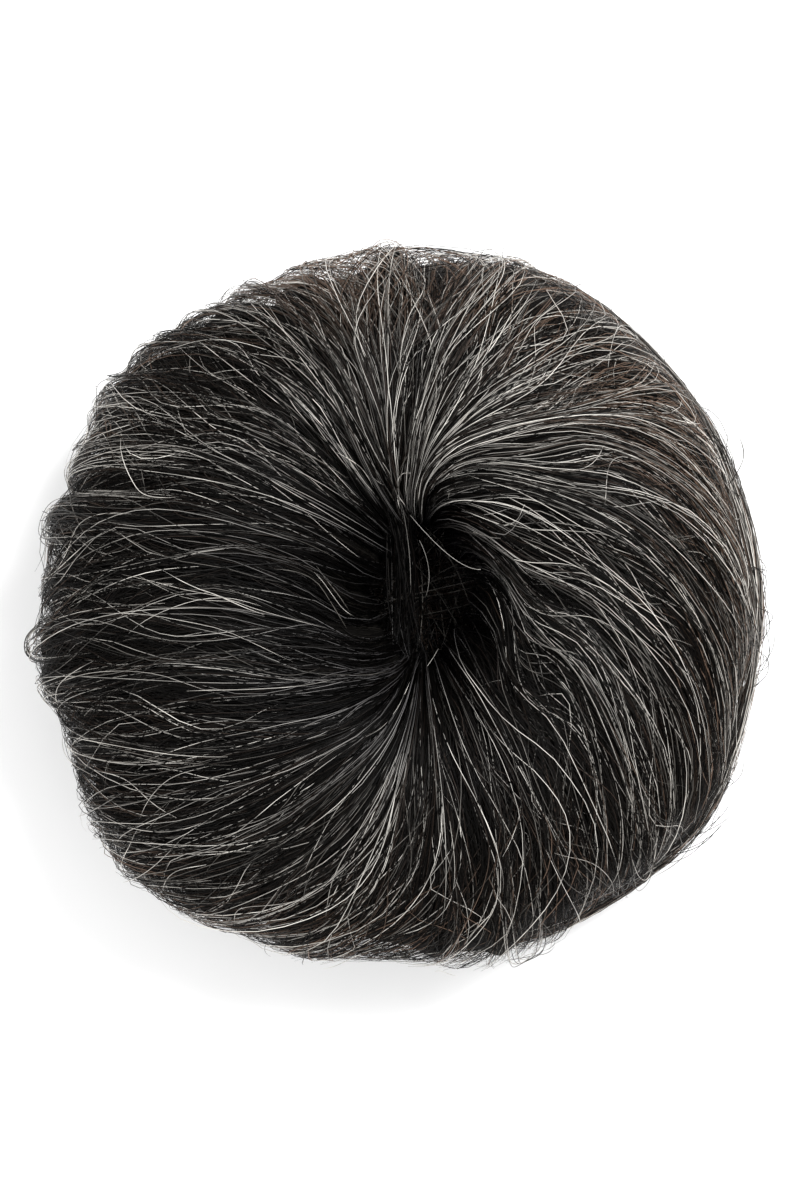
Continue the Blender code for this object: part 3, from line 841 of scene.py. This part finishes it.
def lay_loop(row):
    """Lays the hairs of one loop."""
    _, lock, across, back, turn, rise, hairs = row
    way = np.linspace(0, 1, LOOP_STEPS)
    out = np.abs(2 * way - 1) ** 1.8
    far = turn + dice.normal(0, 5, (hairs, 1))
    roll = np.radians(far + (back + dice.uniform(-12, 14, (hairs, 1)) - far) * out)
    shape = 1 / (1 + np.exp(-7 * (way - 0.5)))
    shape = (shape - shape[0]) / (shape[-1] - shape[0])
    place = lock + dice.normal(0, 0.05, (hairs, 1)) + across * dice.uniform(0.55, 1.3, (hairs, 1)) * shape
    place = place + 0.03 * wander(hairs, way, 2)
    level = rise * (1 - 0.7 * out) + dice.normal(0, 0.3, (hairs, 1)) + 0.15 * wander(hairs, way, 2)
    points, normals = raised(flow(place, roll), roll, smooth_along(relief(place, roll) + level * MILLIMETRE))
    shades = even_shades(LOOP_MIX, hairs)
    along = np.repeat(0.5 + 0.4 * way[None, :], hairs, axis=0)
    return points, normals, varied(LOOP_THICKNESS, hairs) * thin_ends(way), shades, along


collect("loops", join_laid([lay_loop(row) for row in LOOPS]))

# %% [markdown]
# Some short hairs slip out of their lock and lie across the others, as on any loose bun. More noise in the
# wisps would bend them all. So these hairs are laid apart, each with its own slant and bow.

# %% Short hairs that lie across the flow
CROSSINGS, CROSSING_STEPS, CROSSING_THICKNESS = 260, 14, 0.12
CROSSING_MIX = (0.20, 0.08, 0.34, 0.38)


def lay_crossings(count):
    """Lays single short hairs that slant over their neighbours."""
    way = np.linspace(0, 1, CROSSING_STEPS)
    lock = places_among_locks(count)[:, None]
    start = dice.uniform(20, 128, (count, 1))
    end = np.clip(start + dice.uniform(18, 60, (count, 1)) * dice.choice((-1, 1), (count, 1)), 8, 138)
    slant = dice.uniform(0.2, 0.9, (count, 1)) * dice.choice((-1, 1), (count, 1))
    bow = dice.uniform(-0.35, 0.35, (count, 1))
    roll = np.radians(start + (end - start) * way)
    place = lock + slant * way + bow * np.sin(np.pi * way)
    level = dice.uniform(0.2, 1.6, (count, 1)) + 0.5 * wander(count, way, 1.2)
    points, normals = raised(flow(place, roll), roll, smooth_along(relief(place, roll) + level * MILLIMETRE))
    shades = even_shades(CROSSING_MIX, count)
    along = np.repeat(0.45 + 0.4 * way[None, :], count, axis=0)
    return points, normals, varied(CROSSING_THICKNESS, count) * thin_ends(way), shades, along


collect("crossing", lay_crossings(CROSSINGS))

# %% [markdown]
# In the middle the hair goes down a narrow slit. A curtain of loose hairs hangs down it, a few silver ones
# cross it, and deep inside lies a net of dark hairs that hides the floor. A dark plate would hide it too,
# but hair never has a plate's clean edge, and a ponytail can push loose hairs aside.

# %% Curves through given points
CURTAIN, NET = 110, 340
CURTAIN_STEPS, NET_STEPS = 14, 7
CURTAIN_MIX, NET_MIX = (0.70, 0.16, 0.11, 0.03), (0.10, 0.60, 0.30, 0.00)
CURTAIN_THICKNESS, NET_THICKNESS, STRAND_THICKNESS = 0.12, 0.28, 0.11
STRANDS = (
    # start, middle and end in millimetres
    ((1.7, 15.2, 47), (8.6, 8.2, 47), (13.6, 6.0, 49)),
    ((3.3, 11.0, 42), (4.9, 5.9, 41), (4.3, 1.2, 36)),
    ((6.5, -7.4, 41), (5.7, -8.8, 42), (4.6, -10.4, 43)),
    ((12.6, -14.1, 52), (15.0, -13.0, 53), (16.9, -12.6, 54)),
    ((-1.0, 22.0, 50), (1.2, 12.0, 46), (1.8, 2.0, 40)),
)


def bend_between(corners, way):
    """Points on smooth curves between the first and last of three or four sets of points."""
    order = len(corners) - 1
    shares = [math.comb(order, k) * way**k * (1 - way) ** (order - k) for k in range(order + 1)]
    return sum(share[None, :, None] * corner[:, None] for share, corner in zip(shares, corners))


def facing_up(points):
    """Normals that point up."""
    return np.broadcast_to((0.0, 0.0, 1.0), points.shape)


def scatter_on_ring(count, azimuth, spread, rolls, lowest, highest):
    """Places strewn above the ring about one azimuth, between two rolls and two heights."""
    turn = np.radians(dice.normal(azimuth, spread, count))
    roll = np.radians(dice.uniform(*rolls, count))
    height = dice.uniform(lowest, highest, count) if highest > lowest else np.full(count, lowest)
    return raised(turn, roll, height)[0]


print("curtain", CURTAIN, "hairs, net", NET, "and strands", len(STRANDS))

# %% Hairs that hang across the pit
def lay_curtain(count):
    """Lays hairs that leave the far end of the slit and hang down to its near end."""
    way = np.linspace(0, 1, CURTAIN_STEPS)
    crest = scatter_on_ring(count, 107, 8, (112, 135), 0.0005, 0.0018)
    edge = scatter_on_ring(count, 108, 9, (142, 158), 0.0030, 0.0030)
    middle = np.stack((dice.normal(0.0005, 0.0032, count), dice.normal(0, 0.004, count),
                       dice.uniform(0.022, 0.038, count)), 1)
    foot = scatter_on_ring(count, -103, 14, (160, 186), 0, 0.002)
    points = bend_between((crest, edge, middle, foot), way)
    shades = even_shades(CURTAIN_MIX, count)
    # These places along the hairs stay near the root, so the painted shade of the pit darkens the curtain
    along = np.repeat(0.24 - 0.14 * way[None, :], count, axis=0)
    return points, facing_up(points), varied(CURTAIN_THICKNESS, count) * np.ones(len(way)), shades, along


def lay_net(count):
    """Lays dark hairs from wall to wall deep in the pit, which hide the floor below it."""
    way = np.linspace(0, 1, NET_STEPS)
    azimuth = dice.uniform(0, TURN, count)
    across = azimuth + math.pi + dice.normal(0, 0.7, count)
    roll = np.radians(dice.uniform(184, 200, count))
    start, end = raised(azimuth, roll, np.zeros(count))[0], raised(across, roll, np.zeros(count))[0]
    sag = (start + end) / 2 + np.stack((dice.normal(0, 0.004, count), dice.normal(0, 0.005, count),
                                        dice.uniform(-0.008, 0, count)), 1)
    points = bend_between((start, sag, end), way)
    shades = even_shades(NET_MIX, count)
    along = np.full((count, len(way)), 0.80)
    width = np.full((count, len(way)), NET_THICKNESS * MILLIMETRE)
    return points, facing_up(points), width, shades, along


def lay_strands(rows):
    """Lays single silver hairs through given points."""
    way = np.linspace(0, 1, CURTAIN_STEPS)
    corners = np.array(rows).transpose(1, 0, 2) * MILLIMETRE
    corners[1] += corners[1] - (corners[0] + corners[2]) / 2
    points = bend_between(corners, way)
    count = len(rows)
    along = np.repeat(0.36 + 0.1 * way[None, :], count, axis=0)
    width = np.full((count, len(way)), STRAND_THICKNESS * MILLIMETRE)
    return points, facing_up(points), width, np.full(count, "silver"), along


collect("curtain", join_laid((lay_curtain(CURTAIN), lay_strands(STRANDS))))
collect("net", lay_net(NET))

# %% [markdown]
# A few hairs stand off the outline in thin arcs. They could be left out, but without them the outline looks
# moulded. A table has the larger ones, and short ones are strewn round the rim between them.

# %% Flyaways that stand off the outline
FLYAWAYS = (
    # name, azimuths at start and end, rolls at both, heights (mm) at start, middle and end, hairs, scatter
    ("hook", 18.0, 26.0, 12, 8, 2.0, 7.2, 7.8, 3, 0.02),
    ("right_high", 38, 20, 12, -4, 0.2, 2.6, 0.4, 4, 0.5),
    ("top_arc", 128, 96, 4, 6, 2.0, 4.4, 2.6, 9, 0.6),
    ("top_left", 150, 128, 0, 4, 0.4, 1.6, 0.8, 5, 0.6),
    ("left_arc", 190, 166, -6, -4, 0.2, 4.2, 0.4, 4, 0.6),
    ("left_low", 206, 178, -10, -6, 0.2, 3.6, 0.5, 5, 0.8),
    ("left_frizz", 188, 196, -10, -18, 0.4, 2.8, 4.6, 8, 1.2),
    ("bottom_arc", 262, 286, -4, -2, 0.2, 2.2, 0.6, 5, 0.5),
    ("bottom_wisp", 281, 274, 2, -8, 0.5, 1.6, 3.4, 6, 0.5),
    ("low_right", 312, 322, 0, -4, 0.3, 1.8, 2.4, 5, 0.6),
)
FRIZZ, FLYAWAY_STEPS, FLYAWAY_THICKNESS = 150, 16, 0.14
FLYAWAY_MIX = (0.70, 0.14, 0.10, 0.06)
CLEARANCE = 0.0005


def lay_flyaways(azimuth, end_azimuth, roll, end_roll, heights, hairs, scatter):
    """Lays thin hairs that leave the hair and stand off it."""
    way = np.linspace(0, 1, FLYAWAY_STEPS)
    shift = dice.normal(0, 1, (hairs, 1)) * scatter
    stretch = 1 + 0.15 * dice.normal(0, 1, (hairs, 1)) * min(scatter, 1)
    turn = np.radians(azimuth + shift * 2 + (end_azimuth - azimuth) * stretch * way)
    tilt = np.radians(roll + shift * 3 + (end_roll - roll) * way)
    rise = read_course(heights, 0, np.repeat(way[None, :] * 2, hairs, axis=0)) * (1 + 0.25 * shift)
    rise = rise + 0.2 * wander(hairs, way, 1.5) * scatter
    height = rim_relief(turn, tilt) + stand_off(turn, tilt) + rise * MILLIMETRE + CLEARANCE
    points, normals = raised(turn, tilt, smooth_along(height))
    shades = even_shades(FLYAWAY_MIX, hairs)
    ends = np.clip(np.minimum(way + 0.1, 1 - way) / 0.3, 0.25, 1)[None, :]
    along = np.repeat(0.5 + 0.4 * way[None, :], hairs, axis=0)
    width = FLYAWAY_THICKNESS * MILLIMETRE * np.ones((hairs, 1)) * ends
    return points, normals, width, shades, along


flyaways = [lay_flyaways(*row[1:5], row[5:8], *row[8:]) for row in FLYAWAYS]
for _ in range(FRIZZ):
    begin, step = dice.uniform(0, 360), dice.uniform(-11, 11)
    heights = (0.0, dice.uniform(0.3, 1.8), dice.uniform(0.0, 2.2))
    begin_roll, end_roll = dice.uniform(-12, 14), dice.uniform(-14, 12)
    flyaways.append(lay_flyaways(begin, begin + step, begin_roll, end_roll, heights, 1, 0.3))
collect("flyaway", join_laid(flyaways))

# %% [markdown]
# Under the hairs lies the mass of the hair, which shows only as darkness between them. It is made from the
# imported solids: a copy of each is merged, remeshed, drawn in a little and smoothed, so that it keeps the
# locks' form. At the rim it moves out with the hair. A smooth ring would be simpler, but the dark seams
# between the locks would be lost. A UV map along the flow carries fine streaks, as buried hairs do.

# %% Mass of hair below the hairs
def select_only(piece):
    """Selects one object and nothing else."""
    bpy.ops.object.select_all(action="DESELECT")
    piece.select_set(True)
    bpy.context.view_layer.objects.active = piece


# Size of the faces, and how far below the solid's surface the mass lies, in metres
CROWN_VOXEL, CROWN_DRAWN_IN = 0.0014, 0.0009
RIM_VOXEL, RIM_DRAWN_IN = 0.0018, 0.0011
MERGED_WITHIN = 0.00001


def make_mass(name, node, voxel, drawn_in):
    """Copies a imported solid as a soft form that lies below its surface."""
    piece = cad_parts[node].copy()
    piece.data = piece.data.copy()
    piece.name = piece.data.name = name
    bpy.context.scene.collection.objects.link(piece)
    select_only(piece)
    bpy.ops.object.mode_set(mode="EDIT")
    bpy.ops.mesh.select_all(action="SELECT")
    bpy.ops.mesh.remove_doubles(threshold=MERGED_WITHIN)
    bpy.ops.object.mode_set(mode="OBJECT")
    remesh = piece.modifiers.new("remesh", "REMESH")
    remesh.mode = "VOXEL"
    remesh.voxel_size = voxel
    smooth = piece.modifiers.new("smooth", "SMOOTH")
    smooth.factor, smooth.iterations = 0.5, 4
    draw_in = piece.modifiers.new("draw_in", "DISPLACE")
    draw_in.strength, draw_in.mid_level = -drawn_in, 0.0
    for modifier in list(piece.modifiers):
        bpy.ops.object.modifier_apply(modifier=modifier.name)
    bpy.ops.object.shade_smooth()
    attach(piece, "root")
    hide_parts(node)
    print(name, len(piece.data.polygons), "faces")
    return piece


crown_mass = make_mass("crown_mass", "upper_weft", CROWN_VOXEL, CROWN_DRAWN_IN)
rim_mass = make_mass("rim_mass", "lower_weft", RIM_VOXEL, RIM_DRAWN_IN)

# %% Flow of the streaks on the mass
def place_on_ring(points):
    """Azimuth and roll of points near the ring."""
    away = points - (HOLE_X, HOLE_Y, RIM_HEIGHT)
    azimuth = np.arctan2(away[:, 1], away[:, 0])
    middle, half = section(azimuth)
    outward = signed_power((np.hypot(away[:, 0], away[:, 1]) - middle) / half, 1 / ROUNDNESS)
    over = signed_power(away[:, 2] / (HEIGHT - LOCK_DEPTH - RIM_HEIGHT), 1 / ROUNDNESS)
    under = signed_power(away[:, 2] / RIM_HEIGHT, 1 / UNDERSIDE_ROUNDNESS)
    roll = np.arctan2(np.where(away[:, 2] > 0, over, under), outward)
    return azimuth, np.where(roll < -math.pi / 2, roll + TURN, roll)


def place_in_flow(azimuth, roll):
    """The place among the locks of points on the ring."""
    place = course_place(roll)[:, None]
    rows = np.arange(1, len(LOCKS) + 2)
    courses = read_course(FLOW, rows[None, :], np.repeat(place, len(rows), axis=1))
    courses = np.minimum.accumulate(courses, axis=1)
    target = courses[:, :1] - np.mod(courses[:, :1] - azimuth[:, None], TURN)
    row = np.clip((courses >= target).sum(1) - 1, 0, len(LOCKS) - 1)
    each = np.arange(len(row))
    here, there = courses[each, row], courses[each, row + 1]
    return row + np.clip((here - target[:, 0]) / np.maximum(here - there, 1e-6), 0, 1)


print("locks in the flow:", len(LOCKS))

# %% A map along the flow
def add_flow_map(piece, along, across, cycle):
    """Adds a UV map in metres from values at the vertices; across starts again after a cycle."""
    mesh = piece.data
    corner = np.empty(len(mesh.loops), np.int32)
    mesh.loops.foreach_get("vertex_index", corner)
    first = np.empty(len(mesh.polygons), np.int32)
    total = np.empty(len(mesh.polygons), np.int32)
    mesh.polygons.foreach_get("loop_start", first)
    mesh.polygons.foreach_get("loop_total", total)
    nearby = np.repeat(across[corner[first]], total)
    mended = across[corner] + cycle * np.rint((nearby - across[corner]) / cycle)
    flow_map = mesh.uv_layers.new(name="flow")
    flow_map.data.foreach_set("uv", np.stack((along[corner], mended), axis=1).astype(np.float32).ravel())


def vertex_places(piece):
    """A mesh's vertices as an array."""
    places = np.empty(3 * len(piece.data.vertices))
    piece.data.vertices.foreach_get("co", places)
    return places.reshape(-1, 3)


def follow_hair(piece):
    """Moves a mass at the rim as far as the hair stands off the solids there."""
    places = vertex_places(piece)
    azimuth, roll = place_on_ring(places)
    shift = stand_off(azimuth, roll)
    places += raised(azimuth, roll, shift)[1] * shift[:, None]
    places[:, 2] = np.maximum(places[:, 2], 0.0)
    piece.data.vertices.foreach_set("co", places.astype(np.float32).ravel())
    piece.data.update()


for piece in (crown_mass, rim_mass):
    follow_hair(piece)
azimuth, roll = place_on_ring(vertex_places(crown_mass))
lock_span = OUTER_WAY[-1] / len(LOCKS)
add_flow_map(crown_mass, roll * SECTION_RADIUS, place_in_flow(azimuth, roll) * lock_span, OUTER_WAY[-1])
azimuth, roll = place_on_ring(vertex_places(rim_mass))
add_flow_map(rim_mass, azimuth * OUTER_RADIUS, roll * SECTION_RADIUS, TURN * SECTION_RADIUS)
print("flow maps:", [layer.name for piece in (crown_mass, rim_mass) for layer in piece.data.uv_layers])

# %% Streaked dark hair for the mass
def make_streak_group():
    """Fine streaks along a flow map: a mask of lighter hairs and their height."""
    tree = bpy.data.node_groups.new("hair_streaks", "ShaderNodeTree")
    for name, kind in (("Flow", "Vector"), ("Length", "Float"), ("Width", "Float")):
        tree.interface.new_socket(name, in_out="INPUT", socket_type="NodeSocket" + kind)
    for name in ("Mask", "Height"):
        tree.interface.new_socket(name, in_out="OUTPUT", socket_type="NodeSocketFloat")
    given, result = tree.nodes.new("NodeGroupInput"), tree.nodes.new("NodeGroupOutput")
    parts = tree.nodes.new("ShaderNodeSeparateXYZ")
    tree.links.new(given.outputs["Flow"], parts.inputs["Vector"])
    shrunk = tree.nodes.new("ShaderNodeCombineXYZ")
    for axis, size in (("X", "Length"), ("Y", "Width")):
        share = tree.nodes.new("ShaderNodeMath")
        share.operation = "DIVIDE"
        tree.links.new(parts.outputs[axis], share.inputs[0])
        tree.links.new(given.outputs[size], share.inputs[1])
        tree.links.new(share.outputs["Value"], shrunk.inputs[axis])
    strands = tree.nodes.new("ShaderNodeTexNoise")
    strands.inputs["Scale"].default_value = 1.0
    strands.inputs["Detail"].default_value = 3.0
    tree.links.new(shrunk.outputs["Vector"], strands.inputs["Vector"])
    tree.links.new(link_range(tree, strands.outputs["Fac"], 0.52, 0.72, 0.0, 1.0), result.inputs["Mask"])
    tree.links.new(strands.outputs["Fac"], result.inputs["Height"])
    return tree


hair_streaks = make_streak_group()
print("streak group:", hair_streaks.name)

# %% Finish of the mass
# How strongly the streaks stand out, and how high, in metres
STREAK_STRENGTH, STREAK_HEIGHT = 0.6, 0.0004


def mass_material(name, dark, light, length, width):
    """Dark hair with fine lighter streaks."""
    material = bpy.data.materials.new(name)
    material.use_nodes = True
    tree = material.node_tree
    shader = tree.nodes["Principled BSDF"]
    place = tree.nodes.new("ShaderNodeUVMap")
    place.uv_map = "flow"
    streaks = tree.nodes.new("ShaderNodeGroup")
    streaks.node_tree = hair_streaks
    streaks.inputs["Length"].default_value = length
    streaks.inputs["Width"].default_value = width
    tree.links.new(place.outputs["UV"], streaks.inputs["Flow"])
    shade = link_mix(tree, "MIX", streaks.outputs["Mask"], (*dark, 1.0), (*light, 1.0))
    tree.links.new(shade, shader.inputs["Base Color"])
    bump = tree.nodes.new("ShaderNodeBump")
    bump.inputs["Strength"].default_value = STREAK_STRENGTH
    bump.inputs["Distance"].default_value = STREAK_HEIGHT
    tree.links.new(streaks.outputs["Height"], bump.inputs["Height"])
    tree.links.new(bump.outputs["Normal"], shader.inputs["Normal"])
    shader.inputs["Roughness"].default_value = 0.8
    shader.inputs["Specular IOR Level"].default_value = 0.04
    return material


MASS_FINISH = (
    # piece, record slot, darkest, lightest, streak length, streak width
    (crown_mass, "top_hair", (0.0018, 0.0016, 0.0014), (0.030, 0.027, 0.023), 0.012, 0.00025),
    (rim_mass, "under_hair", (0.0026, 0.0020, 0.0017), (0.045, 0.032, 0.024), 0.012, 0.00025),
)
for piece, slot, *finish in MASS_FINISH:
    piece.data.materials.clear()
    piece.data.materials.append(mass_material(piece.name, *finish))
    print(piece.name, "is", slot)

# %% [markdown]
# The elastic band is a rubber core in a knitted tube that is gathered as it is sewn. It hardly shows, so a
# knit modelled loop by loop would be wasted. A torus of its size is gathered in fine radial pleats, and
# small cells make its knit, in the UV map that the torus came with.

# %% Elastic band
PLEATS = 54

# The cover's mean radius as a share of the band's, the pleats' depth and a slower unevenness
GATHERED, PLEAT_DEPTH, UNEVENNESS = 0.90, 0.08, 0.02
band_low, band_high = (np.array(corner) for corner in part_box("elastic_band"))
band_middle = (band_low + band_high) / 2
band_thickness = band_high[2] - band_low[2]
band_radius = (band_high[0] - band_low[0]) / 2 - band_thickness / 2
bpy.ops.object.select_all(action="DESELECT")
bpy.ops.mesh.primitive_torus_add(major_segments=4 * PLEATS, minor_segments=14, major_radius=band_radius,
                                 minor_radius=band_thickness / 2, location=band_middle)
elastic = bpy.context.object
elastic.name = elastic.data.name = "gathered_elastic"
bpy.ops.object.transform_apply(location=True)
away = vertex_places(elastic) - band_middle
turn = np.arctan2(away[:, 1], away[:, 0])
core = np.stack((band_radius * np.cos(turn), band_radius * np.sin(turn), np.zeros(len(turn))), axis=1)
pleat = GATHERED + PLEAT_DEPTH * np.cos(PLEATS * turn + 2.0 * np.sin(5 * turn))
pleat = pleat + UNEVENNESS * np.cos(17 * turn)
gathered = band_middle + core + (away - core) * pleat[:, None]
elastic.data.vertices.foreach_set("co", gathered.astype(np.float32).ravel())
elastic.data.update()
bpy.ops.object.shade_smooth()
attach(elastic, "root")
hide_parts("elastic_band")
print("elastic band", round(band_radius * 2000, 1), "mm across its core")

# %% Knitted cover
# How often the loops repeat round the band and round its section, the thread's colour, the painted shade in
# the hollows between the loops, and their height
KNIT_REPEATS = (150.0, 16.0, 1.0)
THREAD, PAINTED_HOLLOW_SHADE = (0.022, 0.020, 0.019, 1.0), (0.005, 0.0045, 0.004, 1.0)
THREAD_HEIGHT = 0.0003

knit = bpy.data.materials.new("knitted_cover")
knit.use_nodes = True
tree = knit.node_tree
place = tree.nodes.new("ShaderNodeUVMap")
place.uv_map = elastic.data.uv_layers[0].name
stretch = tree.nodes.new("ShaderNodeMapping")
stretch.inputs["Scale"].default_value = KNIT_REPEATS
tree.links.new(place.outputs["UV"], stretch.inputs["Vector"])
loops = tree.nodes.new("ShaderNodeTexVoronoi")
loops.inputs["Scale"].default_value = 1.0
loops.inputs["Randomness"].default_value = 0.25
tree.links.new(stretch.outputs["Vector"], loops.inputs["Vector"])
# Painted shade: the knit is darker in the hollows between its loops
hollow_shade_mask = link_range(tree, loops.outputs["Distance"], 0.15, 0.6, 0.0, 1.0)
shade = link_mix(tree, "MIX", hollow_shade_mask, THREAD, PAINTED_HOLLOW_SHADE)
tree.links.new(shade, tree.nodes["Principled BSDF"].inputs["Base Color"])
bump = tree.nodes.new("ShaderNodeBump")
bump.invert = True
bump.inputs["Distance"].default_value = THREAD_HEIGHT
tree.links.new(loops.outputs["Distance"], bump.inputs["Height"])
tree.links.new(bump.outputs["Normal"], tree.nodes["Principled BSDF"].inputs["Normal"])
tree.nodes["Principled BSDF"].inputs["Roughness"].default_value = 0.85
tree.nodes["Principled BSDF"].inputs["Sheen Weight"].default_value = 0.3
elastic.data.materials.append(knit)
print("knit on", elastic.name)

# %% [markdown]
# The photograph shows the bun from straight above on a pale, plain surface, with a faint shadow at the
# lower left. One soft lamp at the upper right gives that shadow, and a bright world fills the rest. A
# picture of a studio as the world would give the same light, but this needs no file.

# %% Floor and world
FLOOR_SIZE = 4
FLOOR_COLOUR = (0.95, 0.95, 0.95, 1)

bpy.ops.object.select_all(action="DESELECT")
bpy.ops.mesh.primitive_plane_add(size=FLOOR_SIZE, location=(0, 0, 0))
floor = bpy.context.object
floor.name = "floor"
floor_material = bpy.data.materials.new("pale_floor")
floor_material.use_nodes = True
floor_shader = floor_material.node_tree.nodes["Principled BSDF"]
floor_shader.inputs["Base Color"].default_value = FLOOR_COLOUR
floor_shader.inputs["Roughness"].default_value = 0.9
floor.data.materials.append(floor_material)

world = bpy.data.worlds.new("studio")
bpy.context.scene.world = world
world.use_nodes = True
world.node_tree.nodes["Background"].inputs["Color"].default_value = (1, 1, 1, 1)
world.node_tree.nodes["Background"].inputs["Strength"].default_value = 1.0
bpy.context.scene.view_settings.view_transform = "Standard"
print("floor and world:", floor.name, world.name)

# %% Lamps
def add_lamp(name, place, size, power):
    """A square soft lamp that faces the hair."""
    bpy.ops.object.light_add(type="AREA", location=place)
    lamp = bpy.context.object
    lamp.name = name
    lamp.data.size = size
    lamp.data.energy = power
    away = -lamp.location
    lamp.rotation_euler = away.to_track_quat("-Z", "Y").to_euler()


add_lamp("key", (0.30, 0.30, 0.80), 0.30, 10.0)
add_lamp("fill", (-0.5, -0.3, 0.8), 0.6, 3.0)
print("lamps:", [lamp.name for lamp in bpy.data.lights])

# %% Camera
# The photograph's scale, its long side and how far the bun lies below its middle, in pixels
PIXELS_PER_METRE = 5800
PICTURE_LONG = 1200
MIDDLE_BELOW = 5

# Metres
CAMERA_HEIGHT = 1.0
SENSOR = 0.036

lens_pixels = PIXELS_PER_METRE * (CAMERA_HEIGHT - RIM_HEIGHT)
bpy.ops.object.camera_add(location=(0, MIDDLE_BELOW / PIXELS_PER_METRE, CAMERA_HEIGHT), rotation=(0, 0, 0))
camera = bpy.context.object
camera.data.sensor_width = SENSOR * 1000
camera.data.lens = SENSOR * 1000 * lens_pixels / PICTURE_LONG
bpy.context.scene.camera = camera
print("camera lens", round(camera.data.lens, 1), "mm")
